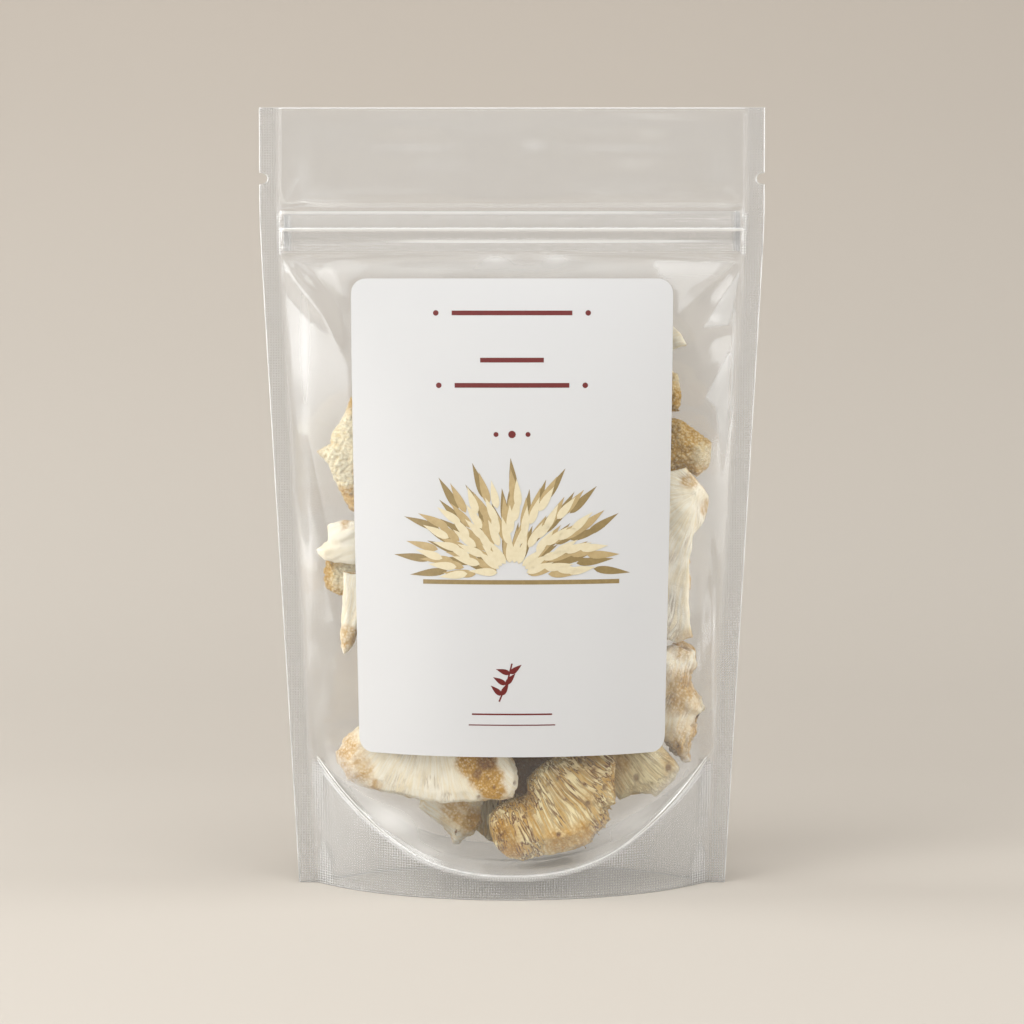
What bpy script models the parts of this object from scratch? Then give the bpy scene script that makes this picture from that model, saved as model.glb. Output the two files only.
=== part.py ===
"""A clear stand-up zip pouch with a paper label, filled with dried mushroom pieces.

Lengths are in millimetres and become metres when a mesh is finished. X runs to the right,
the front faces -Y, Z is up, and the origin is the middle of the footprint.
"""

from math import copysign, cos, exp, hypot, pi, radians, sin

import bmesh
import bpy
from mathutils import Matrix, Vector, noise
from mathutils.bvhtree import BVHTree

MM = 0.001

# Pouch
HEIGHT = 247.0
TOP_HALF_WIDTH = 80.0
TAPER_START = 217.0
TAPER_EASE = 8.0
TAPER_SLOPE = 0.0565
SEAL_WIDTH = 6.0
FILM = 0.3
GAP = 0.3

# Belly: how far the filled film stands off the middle plane
BELLY_DEPTH = 34.0
BELLY_TOP = 206.0
BELLY_CURVE = 1.9
BELLY_POWER = 0.8
FLATNESS = 0.29

# Zip: a strip with two ribs that press between the three lips of the other strip
ZIP_LOW, ZIP_HIGH = 201.8, 214.4
ZIP_HALF_LENGTH = 72.3
ZIP_RIBS = (205.3, 208.7)
ZIP_STAND = 1.8
ZIP_EDGE = 1.2
STRIP_FACE, STRIP_BACK = 1.45, 1.05
RIB_NECK, RIB_HEAD = 0.45, 0.75
RIB_TIP = 0.5
RIB_SHOULDER = 0.1
LIP_HALF = 0.4
LIP_STAND = 0.5

# Tear notches
NOTCH_Z = 224.6
NOTCH_DEPTH = 2.6
NOTCH_RADIUS = 1.7
NOTCH_SIDES = 16

# Bottom gusset: the arc where the floor meets the walls
ARC_MIDDLE = 7.3
ARC_RISE = 34.0
ARC_REACH = 63.3
ARC_POWER = 2.4
GUSSET_HALF = 61.0
GUSSET_GAP = 0.6

# Label
LABEL_HALF_WIDTH = 51.0
LABEL_HALF_LENGTH = 75.5
LABEL_LOW, LABEL_HIGH = 44.7, 193.1
LABEL_CORNER = 4.8
LABEL_THICK = 0.2
LABEL_GAP = 0.45

# Room that the contents keep to the walls and the floor
CLEARANCE = 0.8

# Dried pieces: how a slab's half thickness is shared out between its rim, its shoulder and its
# crown, and how far its points wander
RIM_SHARE = 0.35
SHOULDER_SHARE = 0.4
RIM_WIDTH = 1.6
CROWN_SPREAD = 2.2
CRUMPLE = 1.2
CRUMPLE_PITCH = 11.0

# Slabs that only show from the back and the sides: corners, how uneven their outline is, and
# how a slab sinks onto those below it
SLAB_CORNERS = 10
SLAB_FULLNESS = 0.95
SLAB_SWELL = 0.6
SLAB_WANDER = 0.8
SLAB_CURL = 0.0009
DROP_STEP = 1.0
MOST_DROP = 30.0
MOST_LIFT = 40.0
SQUEEZE = 2.4
DEPTH_TRIES = (0.0, 2.5, -2.5, 5.0, -5.0)

# A second sample of the same noise is taken this far away
ELSEWHERE = Vector((0, 0, 40))

# Lines of the grids: columns as shares of the half width (1 is the seal's inner edge and 2 the
# outer edge), rows as heights
WALL_COLUMNS = (0.12, 0.24, 0.36, 0.48, 0.6, 0.71, 0.81, 0.9, 0.983, 1.0, 2.0)
WALL_ROWS = (
    0, 8, 20, 34, 50, 68, 88, 108, 128, 146, 162, 175, 185, 193, 198, 201.4,
    214.8, 217.8, 232, HEIGHT,
)
FLOOR_COLUMNS = (0.15, 0.3, 0.45, 0.6, 0.75, 0.88, 1.0)
FLOOR_ROWS = (-2.0, -1.5, -1.0, -0.67, -0.33, 0.0, 0.33, 0.67, 1.0, 1.5, 2.0)
LABEL_CELLS = 10
LABEL_STEPS = 16


def smooth(value, low, high):
    share = min(1.0, max(0.0, (value - low) / (high - low)))
    return share * share * (3 - 2 * share)


def half_width(z):
    """Half of the pouch's outer width: straight down to the zip, then drawn in by the gusset."""
    below = max(0.0, TAPER_START - z)
    return TOP_HALF_WIDTH - TAPER_SLOPE * (below - TAPER_EASE * (1 - exp(-below / TAPER_EASE)))


def inner_half(z):
    """Half of the width between the side seals."""
    return half_width(z) - SEAL_WIDTH


def belly(x, z):
    """How far the contents push a wall out."""
    if z >= BELLY_TOP or abs(x) >= inner_half(z):
        return 0.0
    depth = BELLY_DEPTH * (1 - (z / BELLY_TOP) ** BELLY_CURVE) ** BELLY_POWER
    across = (x / inner_half(z)) ** 2
    return depth * (1 - across) * (1 + FLATNESS * across)


def lips(x, z):
    """How far the zip and the open lips above it hold the walls apart."""
    inside = smooth(inner_half(z) - abs(x), 0, ZIP_EDGE)
    over_zip = smooth(z, ZIP_LOW - 3.8, ZIP_LOW - 0.4)
    above = smooth(z, ZIP_HIGH + 0.4, ZIP_HIGH + 3.4)
    return inside * (ZIP_STAND * over_zip * (1 - above) + LIP_STAND * above)


def wall(x, z):
    """Distance from the middle plane to a wall's outer skin."""
    return GAP / 2 + FILM + hypot(belly(x, z), lips(x, z))


def arc_height(x):
    """Height of the gusset's floor."""
    return ARC_MIDDLE + ARC_RISE * (abs(x) / ARC_REACH) ** ARC_POWER


def along_wall(length, z):
    """X of the point that lies this far from the middle when measured along the curved wall."""
    x = 0.0
    for _ in range(LABEL_STEPS):
        slope = wall(x + 0.5, z) - wall(x - 0.5, z)
        x += length / LABEL_STEPS / hypot(1, slope)
    return x


def both_ways(shares):
    return [-share for share in reversed(shares)] + [0.0] + list(shares)


def material(name, colour, roughness, alpha=1.0):
    made = bpy.data.materials.get(name) or bpy.data.materials.new(name)
    made.use_nodes = True
    surface = made.node_tree.nodes["Principled BSDF"]
    surface.inputs["Base Color"].default_value = (*colour, 1.0)
    surface.inputs["Roughness"].default_value = roughness
    surface.inputs["Metallic"].default_value = 0.0
    surface.inputs["Alpha"].default_value = alpha
    return made


def finish(bm, name, look, collection):
    """Turns a bmesh in millimetres into an object in metres."""
    bmesh.ops.scale(bm, vec=Vector((MM, MM, MM)), verts=bm.verts)
    mesh = bpy.data.meshes.new(name)
    bm.to_mesh(mesh)
    bm.free()
    mesh.shade_smooth()
    mesh.set_sharp_from_angle(angle=radians(40))
    mesh.materials.append(look)
    made = bpy.data.objects.new(name, mesh)
    collection.objects.link(made)
    return made


def thicken(bm, thickness):
    """Gives a sheet its thickness behind its outer skin, and keeps its lowest edge flat."""
    bm.normal_update()
    bmesh.ops.solidify(bm, geom=bm.faces[:], thickness=thickness)
    low = min(vert.co.z for vert in bm.verts)
    for vert in bm.verts:
        if vert.co.z < low + thickness / 2:
            vert.co.z = max(low, 0.0)


def grid(columns, rows, place):
    """A grid of one cell between each two lines, with every point put where place says."""
    bm = bmesh.new()
    across, up = len(columns) - 1, len(rows) - 1
    bmesh.ops.create_grid(bm, x_segments=across, y_segments=up, size=1.0)
    for vert in bm.verts:
        column = columns[round((vert.co.x + 1) / 2 * across)]
        row = rows[round((vert.co.y + 1) / 2 * up)]
        vert.co = place(column, row)
    return bm


def build_wall(name, side, look, collection):
    """A wall of the pouch with its half of the side seals. side is -1 in front, 1 behind."""

    def place(share, z):
        reach = inner_half(z) * min(abs(share), 1) + SEAL_WIDTH * max(abs(share) - 1, 0)
        x = copysign(reach, share)
        return Vector((-side * x, side * wall(x, z), z))

    bm = grid(both_ways(WALL_COLUMNS), WALL_ROWS, place)
    thicken(bm, FILM)
    return finish(bm, name, look, collection)


def cut_notches(film, cutters):
    """Round-ended tear notches in both edges."""
    for side in (-1, 1):
        bm = bmesh.new()
        bmesh.ops.create_cone(
            bm, cap_ends=True, segments=NOTCH_SIDES,
            radius1=NOTCH_RADIUS, radius2=NOTCH_RADIUS, depth=10 * FILM,
        )
        outward = [vert for vert in bm.verts if vert.co.x > NOTCH_RADIUS / 2]
        bmesh.ops.translate(bm, vec=Vector((NOTCH_DEPTH, 0, 0)), verts=outward)
        for vert in bm.verts:
            across, up, deep = vert.co
            centre = half_width(NOTCH_Z) - NOTCH_DEPTH + NOTCH_RADIUS
            vert.co = Vector((side * (centre + across), deep, NOTCH_Z + up))
        if side > 0:
            bmesh.ops.reverse_faces(bm, faces=bm.faces)
        cutter = finish(bm, f"cutter_{film.name}_{side}", film.data.materials[0], cutters)
        cutter.hide_render = True
        cutter.display_type = "WIRE"
        cut = film.modifiers.new("Tear notch", "BOOLEAN")
        cut.operation = "DIFFERENCE"
        cut.solver = "EXACT"
        cut.object = cutter


def build_gusset(look, collection):
    """The floor, and the two flanges that run down inside the skirt."""

    def place(share, row):
        x = share * GUSSET_HALF
        top = arc_height(x)
        z = top * min(1.0, 2 - abs(row))
        reach = wall(x, z) - FILM - GUSSET_GAP
        return Vector((x, reach * max(-1.0, min(1.0, row)), z))

    bm = grid(both_ways(FLOOR_COLUMNS), FLOOR_ROWS, place)
    thicken(bm, FILM)
    return finish(bm, "bottom_gusset", look, collection)


def rib_profile():
    """Outline of the strip with the ribs, as (towards the back, up)."""
    points = [(-STRIP_FACE, ZIP_LOW), (-STRIP_BACK, ZIP_LOW)]
    for centre in ZIP_RIBS:
        points += [
            (-STRIP_BACK, centre - RIB_NECK), (RIB_SHOULDER, centre - RIB_NECK),
            (RIB_SHOULDER, centre - RIB_HEAD), (RIB_TIP, centre - RIB_NECK / 2),
            (RIB_TIP, centre + RIB_NECK / 2), (RIB_SHOULDER, centre + RIB_HEAD),
            (RIB_SHOULDER, centre + RIB_NECK), (-STRIP_BACK, centre + RIB_NECK),
        ]
    return points + [(-STRIP_BACK, ZIP_HIGH), (-STRIP_FACE, ZIP_HIGH)]


def lip_profile():
    """Outline of the strip with the lips, as (towards the back, up)."""
    points = [(STRIP_FACE, ZIP_HIGH), (STRIP_BACK, ZIP_HIGH)]
    pitch = ZIP_RIBS[1] - ZIP_RIBS[0]
    middle = (ZIP_RIBS[0] + ZIP_RIBS[1]) / 2
    for centre in (middle + pitch, middle, middle - pitch):
        points += [
            (STRIP_BACK, centre + LIP_HALF), (-RIB_TIP, centre + LIP_HALF),
            (-RIB_TIP, centre - LIP_HALF), (STRIP_BACK, centre - LIP_HALF),
        ]
    return points + [(STRIP_BACK, ZIP_LOW), (STRIP_FACE, ZIP_LOW)]


def build_strip(name, profile, look, collection):
    """A zip strip: its profile drawn out along X."""
    curve = bpy.data.curves.new(name, "CURVE")
    curve.dimensions = "2D"
    curve.fill_mode = "BOTH"
    curve.extrude = ZIP_HALF_LENGTH * MM
    line = curve.splines.new("POLY")
    line.points.add(len(profile) - 1)
    for point, (back, up) in zip(line.points, profile):
        point.co = (back * MM, up * MM, 0, 1)
    line.use_cyclic_u = True
    curve.materials.append(look)
    made = bpy.data.objects.new(name, curve)
    made.rotation_euler = (radians(90), 0, radians(90))
    collection.objects.link(made)
    return made


def build_label(look, collection):
    """A sheet with round corners that lies on the front wall."""
    bm = bmesh.new()
    bmesh.ops.create_grid(bm, x_segments=LABEL_CELLS, y_segments=LABEL_CELLS, size=1.0)
    bmesh.ops.scale(bm, vec=Vector((LABEL_HALF_WIDTH, LABEL_HALF_LENGTH, 1)), verts=bm.verts)
    corners = [vert for vert in bm.verts if len(vert.link_edges) == 2]
    bmesh.ops.bevel(
        bm, geom=corners, offset=LABEL_CORNER, segments=3, profile=0.5,
        affect="VERTICES", material=-1,
    )
    for vert in bm.verts:
        share = (vert.co.y / LABEL_HALF_LENGTH + 1) / 2
        z = LABEL_LOW + share * (LABEL_HIGH - LABEL_LOW)
        x = along_wall(vert.co.x, z)
        vert.co = Vector((x, -wall(x, z) - LABEL_GAP - LABEL_THICK, z))
    thicken(bm, LABEL_THICK)
    return finish(bm, "label", look, collection)


def outline_bmesh(outline, thick, rim):
    """A slab of an outline, lying in the middle plane: an upright rim, then both faces crowned."""
    bm = bmesh.new()
    face = bm.faces.new([bm.verts.new((x, 0, z)) for x, z in outline])
    bm.normal_update()
    bmesh.ops.solidify(bm, geom=[face], thickness=2 * RIM_SHARE * thick)
    bmesh.ops.recalc_face_normals(bm, faces=bm.faces)
    middle = sum(vert.co.y for vert in bm.verts) / len(bm.verts)
    bmesh.ops.translate(bm, vec=Vector((0, -middle, 0)), verts=bm.verts)
    crown_share = 1 - RIM_SHARE - SHOULDER_SHARE
    for inset, rise in ((rim, SHOULDER_SHARE), (CROWN_SPREAD * rim, crown_share)):
        faces = [face for face in bm.faces if len(face.verts) == len(outline)]
        bmesh.ops.inset_individual(
            bm, faces=faces, thickness=inset, depth=rise * thick, use_even_offset=False,
        )
    return bm


def shape_piece(spec, drop):
    """The bmesh of a piece that has sunk by drop, and whether the floor or a wall stops it there.

    Points beyond a wall are flattened against it, which a piece only bears up to SQUEEZE.
    """
    outline = [(x, z - drop) for x, z in spec["outline"]]
    middle_x = sum(x for x, _ in outline) / len(outline)
    middle_z = sum(z for _, z in outline) / len(outline)
    bm = outline_bmesh(outline, spec["thick"], spec.get("rim", RIM_WIDTH))
    stopped = False
    for vert in bm.verts:
        x, y, z = vert.co
        right, up = x - middle_x, z - middle_z
        at = Vector((right, up, 2 * y)) / CRUMPLE_PITCH + Vector((0, 0, spec["seed"]))
        x += CRUMPLE * noise.noise(at)
        z += CRUMPLE * noise.noise(at + ELSEWHERE)
        y += spec["depth"] + spec.get("lean", 0) * right + spec.get("tilt", 0) * up
        y += spec.get("bend", 0) * (right * right + up * up) + 2 * CRUMPLE * noise.noise(at)
        room = wall(x, z) - FILM - CLEARANCE
        floor = arc_height(x) + CLEARANCE
        stopped = stopped or z < floor or abs(y) > room + SQUEEZE
        vert.co = Vector((x, max(-room, min(room, y)), max(z, floor)))
    bmesh.ops.triangulate(bm, faces=bm.faces)
    bmesh.ops.recalc_face_normals(bm, faces=bm.faces)
    return bm, stopped


def touches(bm, placed):
    """Whether a piece, swollen by the gap it keeps, cuts any piece that is in place."""
    bm.normal_update()
    swollen = bm.copy()
    for vert, base in zip(swollen.verts, bm.verts):
        vert.co = base.co + GAP * base.normal
    tree = BVHTree.FromBMesh(swollen)
    swollen.free()
    return any(tree.overlap(other) for other in placed)


def sink(spec, placed):
    """Moves a piece up until it is clear, then down until it rests on something. Gives its drop."""
    def blocked(drop):
        bm, stopped = shape_piece(spec, drop)
        stopped = stopped or touches(bm, placed)
        bm.free()
        return stopped

    drop = 0.0
    while blocked(drop) and drop > -MOST_LIFT:
        drop -= DROP_STEP
    while drop < MOST_DROP and not blocked(drop + DROP_STEP):
        drop += DROP_STEP
    return drop


def settle(spec, placed):
    """Puts a piece at the depth where it sinks lowest."""
    depth = spec["depth"]
    best = None
    for shift in DEPTH_TRIES:
        spec["depth"] = depth + shift
        drop = sink(spec, placed)
        if drop > -MOST_LIFT and (best is None or drop > best[0]):
            best = (drop, spec["depth"])
    drop, spec["depth"] = best
    return shape_piece(spec, drop)[0]


# Pieces that show from the front and stay where they are: outlines as (x, z), then the middle's
# depth and half of the thickness. lean is the depth that a piece gains for each millimetre to
# the right, tilt for each one up, and bend curls it.
SHOWN = {
    "slice_upper_left": dict(look="flesh", depth=-1, thick=5, bend=0.004, outline=(
        (-52, 155), (-53.5, 150), (-57.5, 144), (-57.5, 140.5), (-62, 138), (-59.5, 135.5),
        (-57.5, 133), (-56.5, 129.5), (-53.5, 124), (-51.5, 119.5), (-43, 117), (-35, 124),
        (-33, 138), (-38, 150), (-45, 157))),
    "folded_slice_left": dict(look="flesh", depth=-3.5, thick=3.4, rim=1.2, outline=(
        (-56, 116.2), (-59.5, 114), (-58.8, 110), (-62.5, 107), (-62, 105.2), (-59.5, 103.2),
        (-50, 102.2), (-40, 104), (-36, 110), (-42, 116), (-50, 117))),
    "golden_lump_left": dict(look="crust", depth=2.5, thick=4.2, rim=1.2, outline=(
        (-59, 103), (-60.5, 99), (-60, 94.5), (-55.5, 91.8), (-47, 91.5), (-39, 94),
        (-37, 99), (-42, 103), (-51, 104))),
    "tail_sliver_left": dict(look="flesh", depth=-6.4, thick=2, rim=0.8, tilt=0.1, outline=(
        (-54.5, 101), (-54.5, 86), (-54.5, 79.5), (-53.2, 74), (-50.5, 76), (-47, 84), (-44, 92),
        (-45, 100))),
    "broad_slice": dict(look="flesh", depth=-14, thick=6.5, lean=-0.26, rim=1.4, outline=(
        (-50, 51), (-53.5, 47.5), (-56, 43.5), (-55.5, 40), (-52.5, 34.5), (-47.5, 32.3),
        (-41.5, 30.3), (-33.5, 29.2), (-23, 28), (-12, 28.2), (-8.5, 29.4), (-4, 29.6),
        (0, 31), (2.2, 34.5), (2.2, 39), (0.5, 44), (-5, 49), (-20, 53), (-38, 54))),
    "wedge_slice": dict(look="flesh", depth=-1.5, thick=6, rim=1.6, outline=(
        (-29, 28.5), (-29.5, 24.5), (-20.3, 16), (-19.8, 12.8), (-17, 12.5), (-15, 14.5),
        (-12.5, 15.2), (-9.5, 19), (-9, 24), (-7, 30), (-14, 34), (-26, 33))),
    "toothed_slice": dict(look="teeth", depth=-15, thick=9, rim=2, outline=(
        (-7.5, 23.5), (-4.5, 27), (4.5, 30.5), (4.8, 35.5), (9, 40), (17, 45), (28, 46.5),
        (33.5, 42), (32.5, 34.5), (33, 28), (29.5, 26.3), (30.8, 22.4), (29, 19.8),
        (26.7, 17.4), (25.5, 14.8), (21, 12.8), (16.5, 12), (11, 11.4), (3, 9.5), (-1.5, 10.6),
        (-4.8, 13.5), (-6.3, 15.5), (-7.6, 19.5))),
    "toothed_slice_right": dict(look="teeth", depth=-3, thick=6.5, rim=1.5, outline=(
        (30, 42), (38, 47), (46, 46), (49, 42.8), (52, 40), (53.6, 37.5), (52, 33.8),
        (47.5, 29.6), (46, 28.4), (44.6, 29.6), (38.5, 29.2), (34.5, 27.4), (31, 31))),
    "crumpled_strip_right": dict(look="flesh", depth=0.5, thick=5, rim=1.4, outline=(
        (57.5, 75), (57.6, 71), (56, 67), (57, 63), (60.6, 55.4), (57.6, 54.6), (57, 51),
        (58.6, 48), (57, 44.5), (57.2, 38.8), (54.5, 38.6), (51, 45), (44, 49), (39, 56),
        (40, 66), (46, 74), (52, 76))),
    "petal_slice_right": dict(look="flesh", depth=-5.5, thick=2.2, rim=1, bend=0.002, outline=(
        (54.5, 133), (58.5, 129.5), (60.8, 127.5), (63, 124.5), (63, 121.5), (61.5, 116),
        (58.3, 112), (57, 104), (56.5, 90.5), (57.6, 79), (52, 76.8), (45, 80), (39, 90),
        (37, 106), (40, 122), (47, 132))),
    "golden_chunk_right": dict(look="crust", depth=2.8, thick=5.5, rim=1.4, outline=(
        (54.5, 148), (57.5, 145.6), (60, 144), (63.5, 141), (64, 138), (63.5, 135),
        (62.5, 133.2), (58.5, 130.2), (54.5, 132), (47, 131), (40, 134), (38, 141), (42, 147),
        (48, 149))),
    "crust_strip_right": dict(look="crust", depth=1, thick=3, rim=1, outline=(
        (51, 164), (53.2, 163), (53.6, 156), (53.4, 150), (50, 149.5), (43, 151), (37, 155),
        (38, 162), (44, 165))),
    "pale_tip_right": dict(look="flesh", depth=0, thick=2.6, rim=1, outline=(
        (56, 171.5), (54.5, 175), (52, 178), (44, 179.5), (34, 177), (28, 171), (31, 167),
        (38, 166.4), (46, 166.8), (51.5, 169.6))),
}

# Pieces behind the label: look, middle (x, depth, z), reach along and across, half thickness,
# tilt, and the turn of the long side in degrees
HIDDEN = {
    "slab_low_back_middle": ("teeth", 4, 16, 28, 22, 14, 6, 0.05, 12),
    "slab_low_back_left": ("flesh", -31, 10, 44, 18, 11, 4.4, -0.05, -28),
    "slab_low_back_right": ("flesh", 34, 11, 46, 18, 11, 4.2, -0.05, 30),
    "slab_shadowed": ("crust", 4, 0, 38, 16, 12, 4, 0.05, 60),
    "slab_low_middle": ("flesh", -28, 0, 56, 19, 11, 4, 0, 10),
    "slab_prop_left": ("flesh", -42, 1, 77, 13, 7.5, 4, 0, 84),
    "slab_front_left": ("teeth", -18, -13, 80, 21, 13, 5, 0.12, 40),
    "slab_front_right": ("flesh", 22, -13, 70, 20, 13, 5, 0.12, -35),
    "slab_core_low": ("flesh", 8, 1, 74, 22, 13, 4, 0, 15),
    "slab_back_middle": ("flesh", -2, 16, 66, 18, 15, 5, -0.1, 70),
    "slab_back_left": ("crust", -35, 11, 78, 17, 14, 4, -0.08, 80),
    "slab_back_right": ("teeth", 27, 13, 76, 17, 12, 4.2, -0.1, -60),
    "slab_middle_back_left": ("flesh", -27, 11, 110, 23, 14, 5, -0.13, 25),
    "slab_middle_back_right": ("flesh", 13, 12, 106, 19, 13, 4.5, -0.13, -25),
    "slab_middle_front_left": ("flesh", -20, -10, 116, 20, 13, 4.5, 0.14, -60),
    "slab_middle_front_right": ("crust", 18, -11, 110, 19, 13, 4.5, 0.14, 30),
    "slab_upper_back_right": ("teeth", 35, 7, 112, 15, 8, 3.4, -0.08, 70),
    "slab_core_high": ("teeth", 0, 0, 124, 20, 13, 3.6, 0, 75),
    "slab_high_front": ("flesh", -6, -7, 150, 25, 12, 4, 0.14, 12),
    "slab_high_back_left": ("crust", -20, 7, 148, 21, 13, 3.6, -0.15, -30),
    "slab_high_back_right": ("flesh", 18, 6, 152, 20, 13, 4, -0.15, 48),
    "slab_top_left": ("flesh", -14, 0, 176, 18, 8, 2.8, 0, -12),
    "slab_top_right": ("crust", 16, 0, 180, 14, 8, 2.6, 0, 20),
}


def rough_outline(x, z, along, across, turn, seed):
    """An uneven, angular outline: the corners of an oval, each moved round and in or out."""
    outline = []
    for index in range(SLAB_CORNERS):
        at = Vector((index * 0.9, seed, 0))
        angle = 2 * pi * (index + SLAB_WANDER * noise.noise(at)) / SLAB_CORNERS
        swell = SLAB_FULLNESS + SLAB_SWELL * noise.noise(2 * at + ELSEWHERE)
        point = Vector((along * swell * cos(angle), across * swell * sin(angle)))
        point.rotate(Matrix.Rotation(radians(turn), 2))
        outline.append((x + point.x, z + point.y))
    return tuple(outline)


def main():
    for old in list(bpy.data.objects):
        bpy.data.objects.remove(old)
    parts = bpy.data.collections.new("Stand-up pouch of dried mushroom")
    cutters = bpy.data.collections.new("Cutters")
    bpy.context.scene.collection.children.link(parts)
    bpy.context.scene.collection.children.link(cutters)

    film = material("Clear film", (0.82, 0.80, 0.77), 0.2, alpha=0.35)
    profile = material("Zip profile", (0.86, 0.85, 0.83), 0.3, alpha=0.6)
    paper = material("Label paper", (0.86, 0.86, 0.85), 0.45)
    dried = {
        "flesh": material("Dried flesh", (0.78, 0.68, 0.48), 0.85),
        "teeth": material("Dried teeth", (0.66, 0.50, 0.29), 0.85),
        "crust": material("Golden crust", (0.56, 0.37, 0.16), 0.9),
    }

    for name, side in (("front_film", -1), ("back_film", 1)):
        cut_notches(build_wall(name, side, film, parts), cutters)
    build_gusset(film, parts)
    build_strip("zip_ribs_front", rib_profile(), profile, parts)
    build_strip("zip_lips_back", lip_profile(), profile, parts)
    build_label(paper, parts)

    placed = []
    for index, (name, spec) in enumerate(SHOWN.items()):
        spec["seed"] = index * 7.3
        bm, _ = shape_piece(spec, 0.0)
        placed.append(BVHTree.FromBMesh(bm))
        finish(bm, name, dried[spec["look"]], parts)
    for index, (name, row) in enumerate(HIDDEN.items()):
        look, x, depth, z, along, across, thick, tilt, turn = row
        spec = {
            "outline": rough_outline(x, z, along, across, turn, index * 3.1),
            "depth": depth, "thick": thick, "tilt": tilt, "bend": -SLAB_CURL * depth,
            "seed": 90 + index * 5.7,
        }
        bm = settle(spec, placed)
        placed.append(BVHTree.FromBMesh(bm))
        finish(bm, name, dried[look], parts)


main()
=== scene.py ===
"""Looks of a clear stand-up zip pouch that holds dried pieces of a shaggy mushroom.

Shapes are worked out in millimetres, and turned to metres when a piece is finished.
"""
from itertools import product
from math import radians

import bmesh
import bpy
import numpy as np
from mathutils import Matrix, Vector


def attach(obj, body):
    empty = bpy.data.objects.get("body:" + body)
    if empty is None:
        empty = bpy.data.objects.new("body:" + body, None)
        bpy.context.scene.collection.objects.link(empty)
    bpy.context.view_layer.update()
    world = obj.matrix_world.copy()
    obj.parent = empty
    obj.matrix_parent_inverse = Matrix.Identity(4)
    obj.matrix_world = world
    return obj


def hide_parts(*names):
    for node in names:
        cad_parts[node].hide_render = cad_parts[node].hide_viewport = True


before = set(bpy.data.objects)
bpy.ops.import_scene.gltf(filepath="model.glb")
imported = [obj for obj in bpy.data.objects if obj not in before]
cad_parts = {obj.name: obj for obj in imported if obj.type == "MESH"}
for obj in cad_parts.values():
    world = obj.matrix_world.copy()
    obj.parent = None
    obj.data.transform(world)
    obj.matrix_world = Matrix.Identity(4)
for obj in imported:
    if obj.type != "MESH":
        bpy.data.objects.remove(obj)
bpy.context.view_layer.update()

bl_info = {
    "name": "Pouch of dried mushroom",
    "version": (1, 0, 0),
    "blender": (4, 5, 0),
    "location": "3D View > Sidebar > Pouch",
    "description": "Builds the film, zip, label and dried pieces of a clear stand-up pouch",
    "category": "Object",
}

MM = 0.001

# The pouch has the sizes of the solids. Its sides run straight down to TAPER_START, then lean in
HEIGHT, TOP_HALF_WIDTH = 247.0, 80.0
TAPER_START, TAPER_EASE, TAPER_SLOPE = 217.0, 8.0, 0.0565

# The side seals' width, the film's thickness and the gap between both films where they are sealed
SEAL_WIDTH, FILM, GAP = 6.0, 0.3, 0.3

# The filled belly: its depth at the foot, where it ends, and how full it is up and across
BELLY_DEPTH, BELLY_TOP, BELLY_CURVE, BELLY_POWER = 34.0, 206.0, 1.9, 0.8
FLATNESS = 0.29

# The zip: where it lies, and how far it and the mouth above it hold the film out
ZIP_LOW, ZIP_HIGH, ZIP_HALF_LENGTH = 201.8, 214.4, 72.3
ZIP_STAND, ZIP_EDGE, LIP_STAND = 1.8, 1.2, 0.5

# The zip's ribs: their heights, then the strips' faces and the profile from the middle plane
ZIP_RIBS = (205.3, 208.7)
STRIP_FACE, STRIP_BACK = 1.45, 1.05
RIB_NECK, RIB_HEAD, RIB_TIP, RIB_SHOULDER, LIP_HALF = 0.45, 0.75, 0.5, 0.1, 0.4

# The tear notches, the curved seal over the gusset, and the gusset inside it
NOTCH_Z, NOTCH_DEPTH, NOTCH_RADIUS = 224.6, 2.6, 1.7
ARC_MIDDLE, ARC_RISE, ARC_REACH, ARC_POWER = 7.3, 34.0, 63.3, 2.4
GUSSET_HALF, GUSSET_GAP = 61.0, 0.6

# The label laid flat, and where its ends lie on the pouch
LABEL_HALF_WIDTH, LABEL_HALF_LENGTH, LABEL_CORNER = 51.0, 75.5, 4.8
LABEL_LOW, LABEL_HIGH = 44.7, 193.1
LABEL_THICK, LABEL_GAP = 0.2, 0.45

# The pitch of the square knurl in the seals
KNURL = 0.82

# How close a dried piece may come to the film and to the floor
WALL_ROOM, FLOOR_ROOM = 0.55, 0.35

# How far apart the fibres of a slice of flesh run
FIBRE_PITCH = 0.7

# How far the label's ink lies off the paper, and how thick it is
INK_LIFT, INK_THICK = 0.04, 0.03

# The distance written where a sheet has no edge or line
FAR = 20.0

# Where the zip's ends begin to be crushed by the side seals, and where they are flat
CRUSH_START, CRUSH_END = 68.0, 72.0

# The ribbed pockets at the ends of the curved seal: from where to where up, and how wide
POCKET_LOW, POCKET_HIGH, POCKET_WIDTH = 16.0, 40.0, 4.2

# The lens's focal length as a share of the picture's width, and the height it looks at
FOCAL_SHARE, AIM_HEIGHT = 3.5335, 118.87


# Shape of the pouch

def smooth(value, low, high):
    """0 below low, 1 above high and an even curve between."""
    share = np.clip((value - low) / (high - low), 0.0, 1.0)
    return share * share * (3 - 2 * share)


def half_width(z):
    """From the pouch's middle to its cut edge."""
    below = np.maximum(0.0, TAPER_START - z)
    return TOP_HALF_WIDTH - TAPER_SLOPE * (below - TAPER_EASE * (1 - np.exp(-below / TAPER_EASE)))


def inner_half(z):
    """From the pouch's middle to the inside of its side seal."""
    return half_width(z) - SEAL_WIDTH


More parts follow.
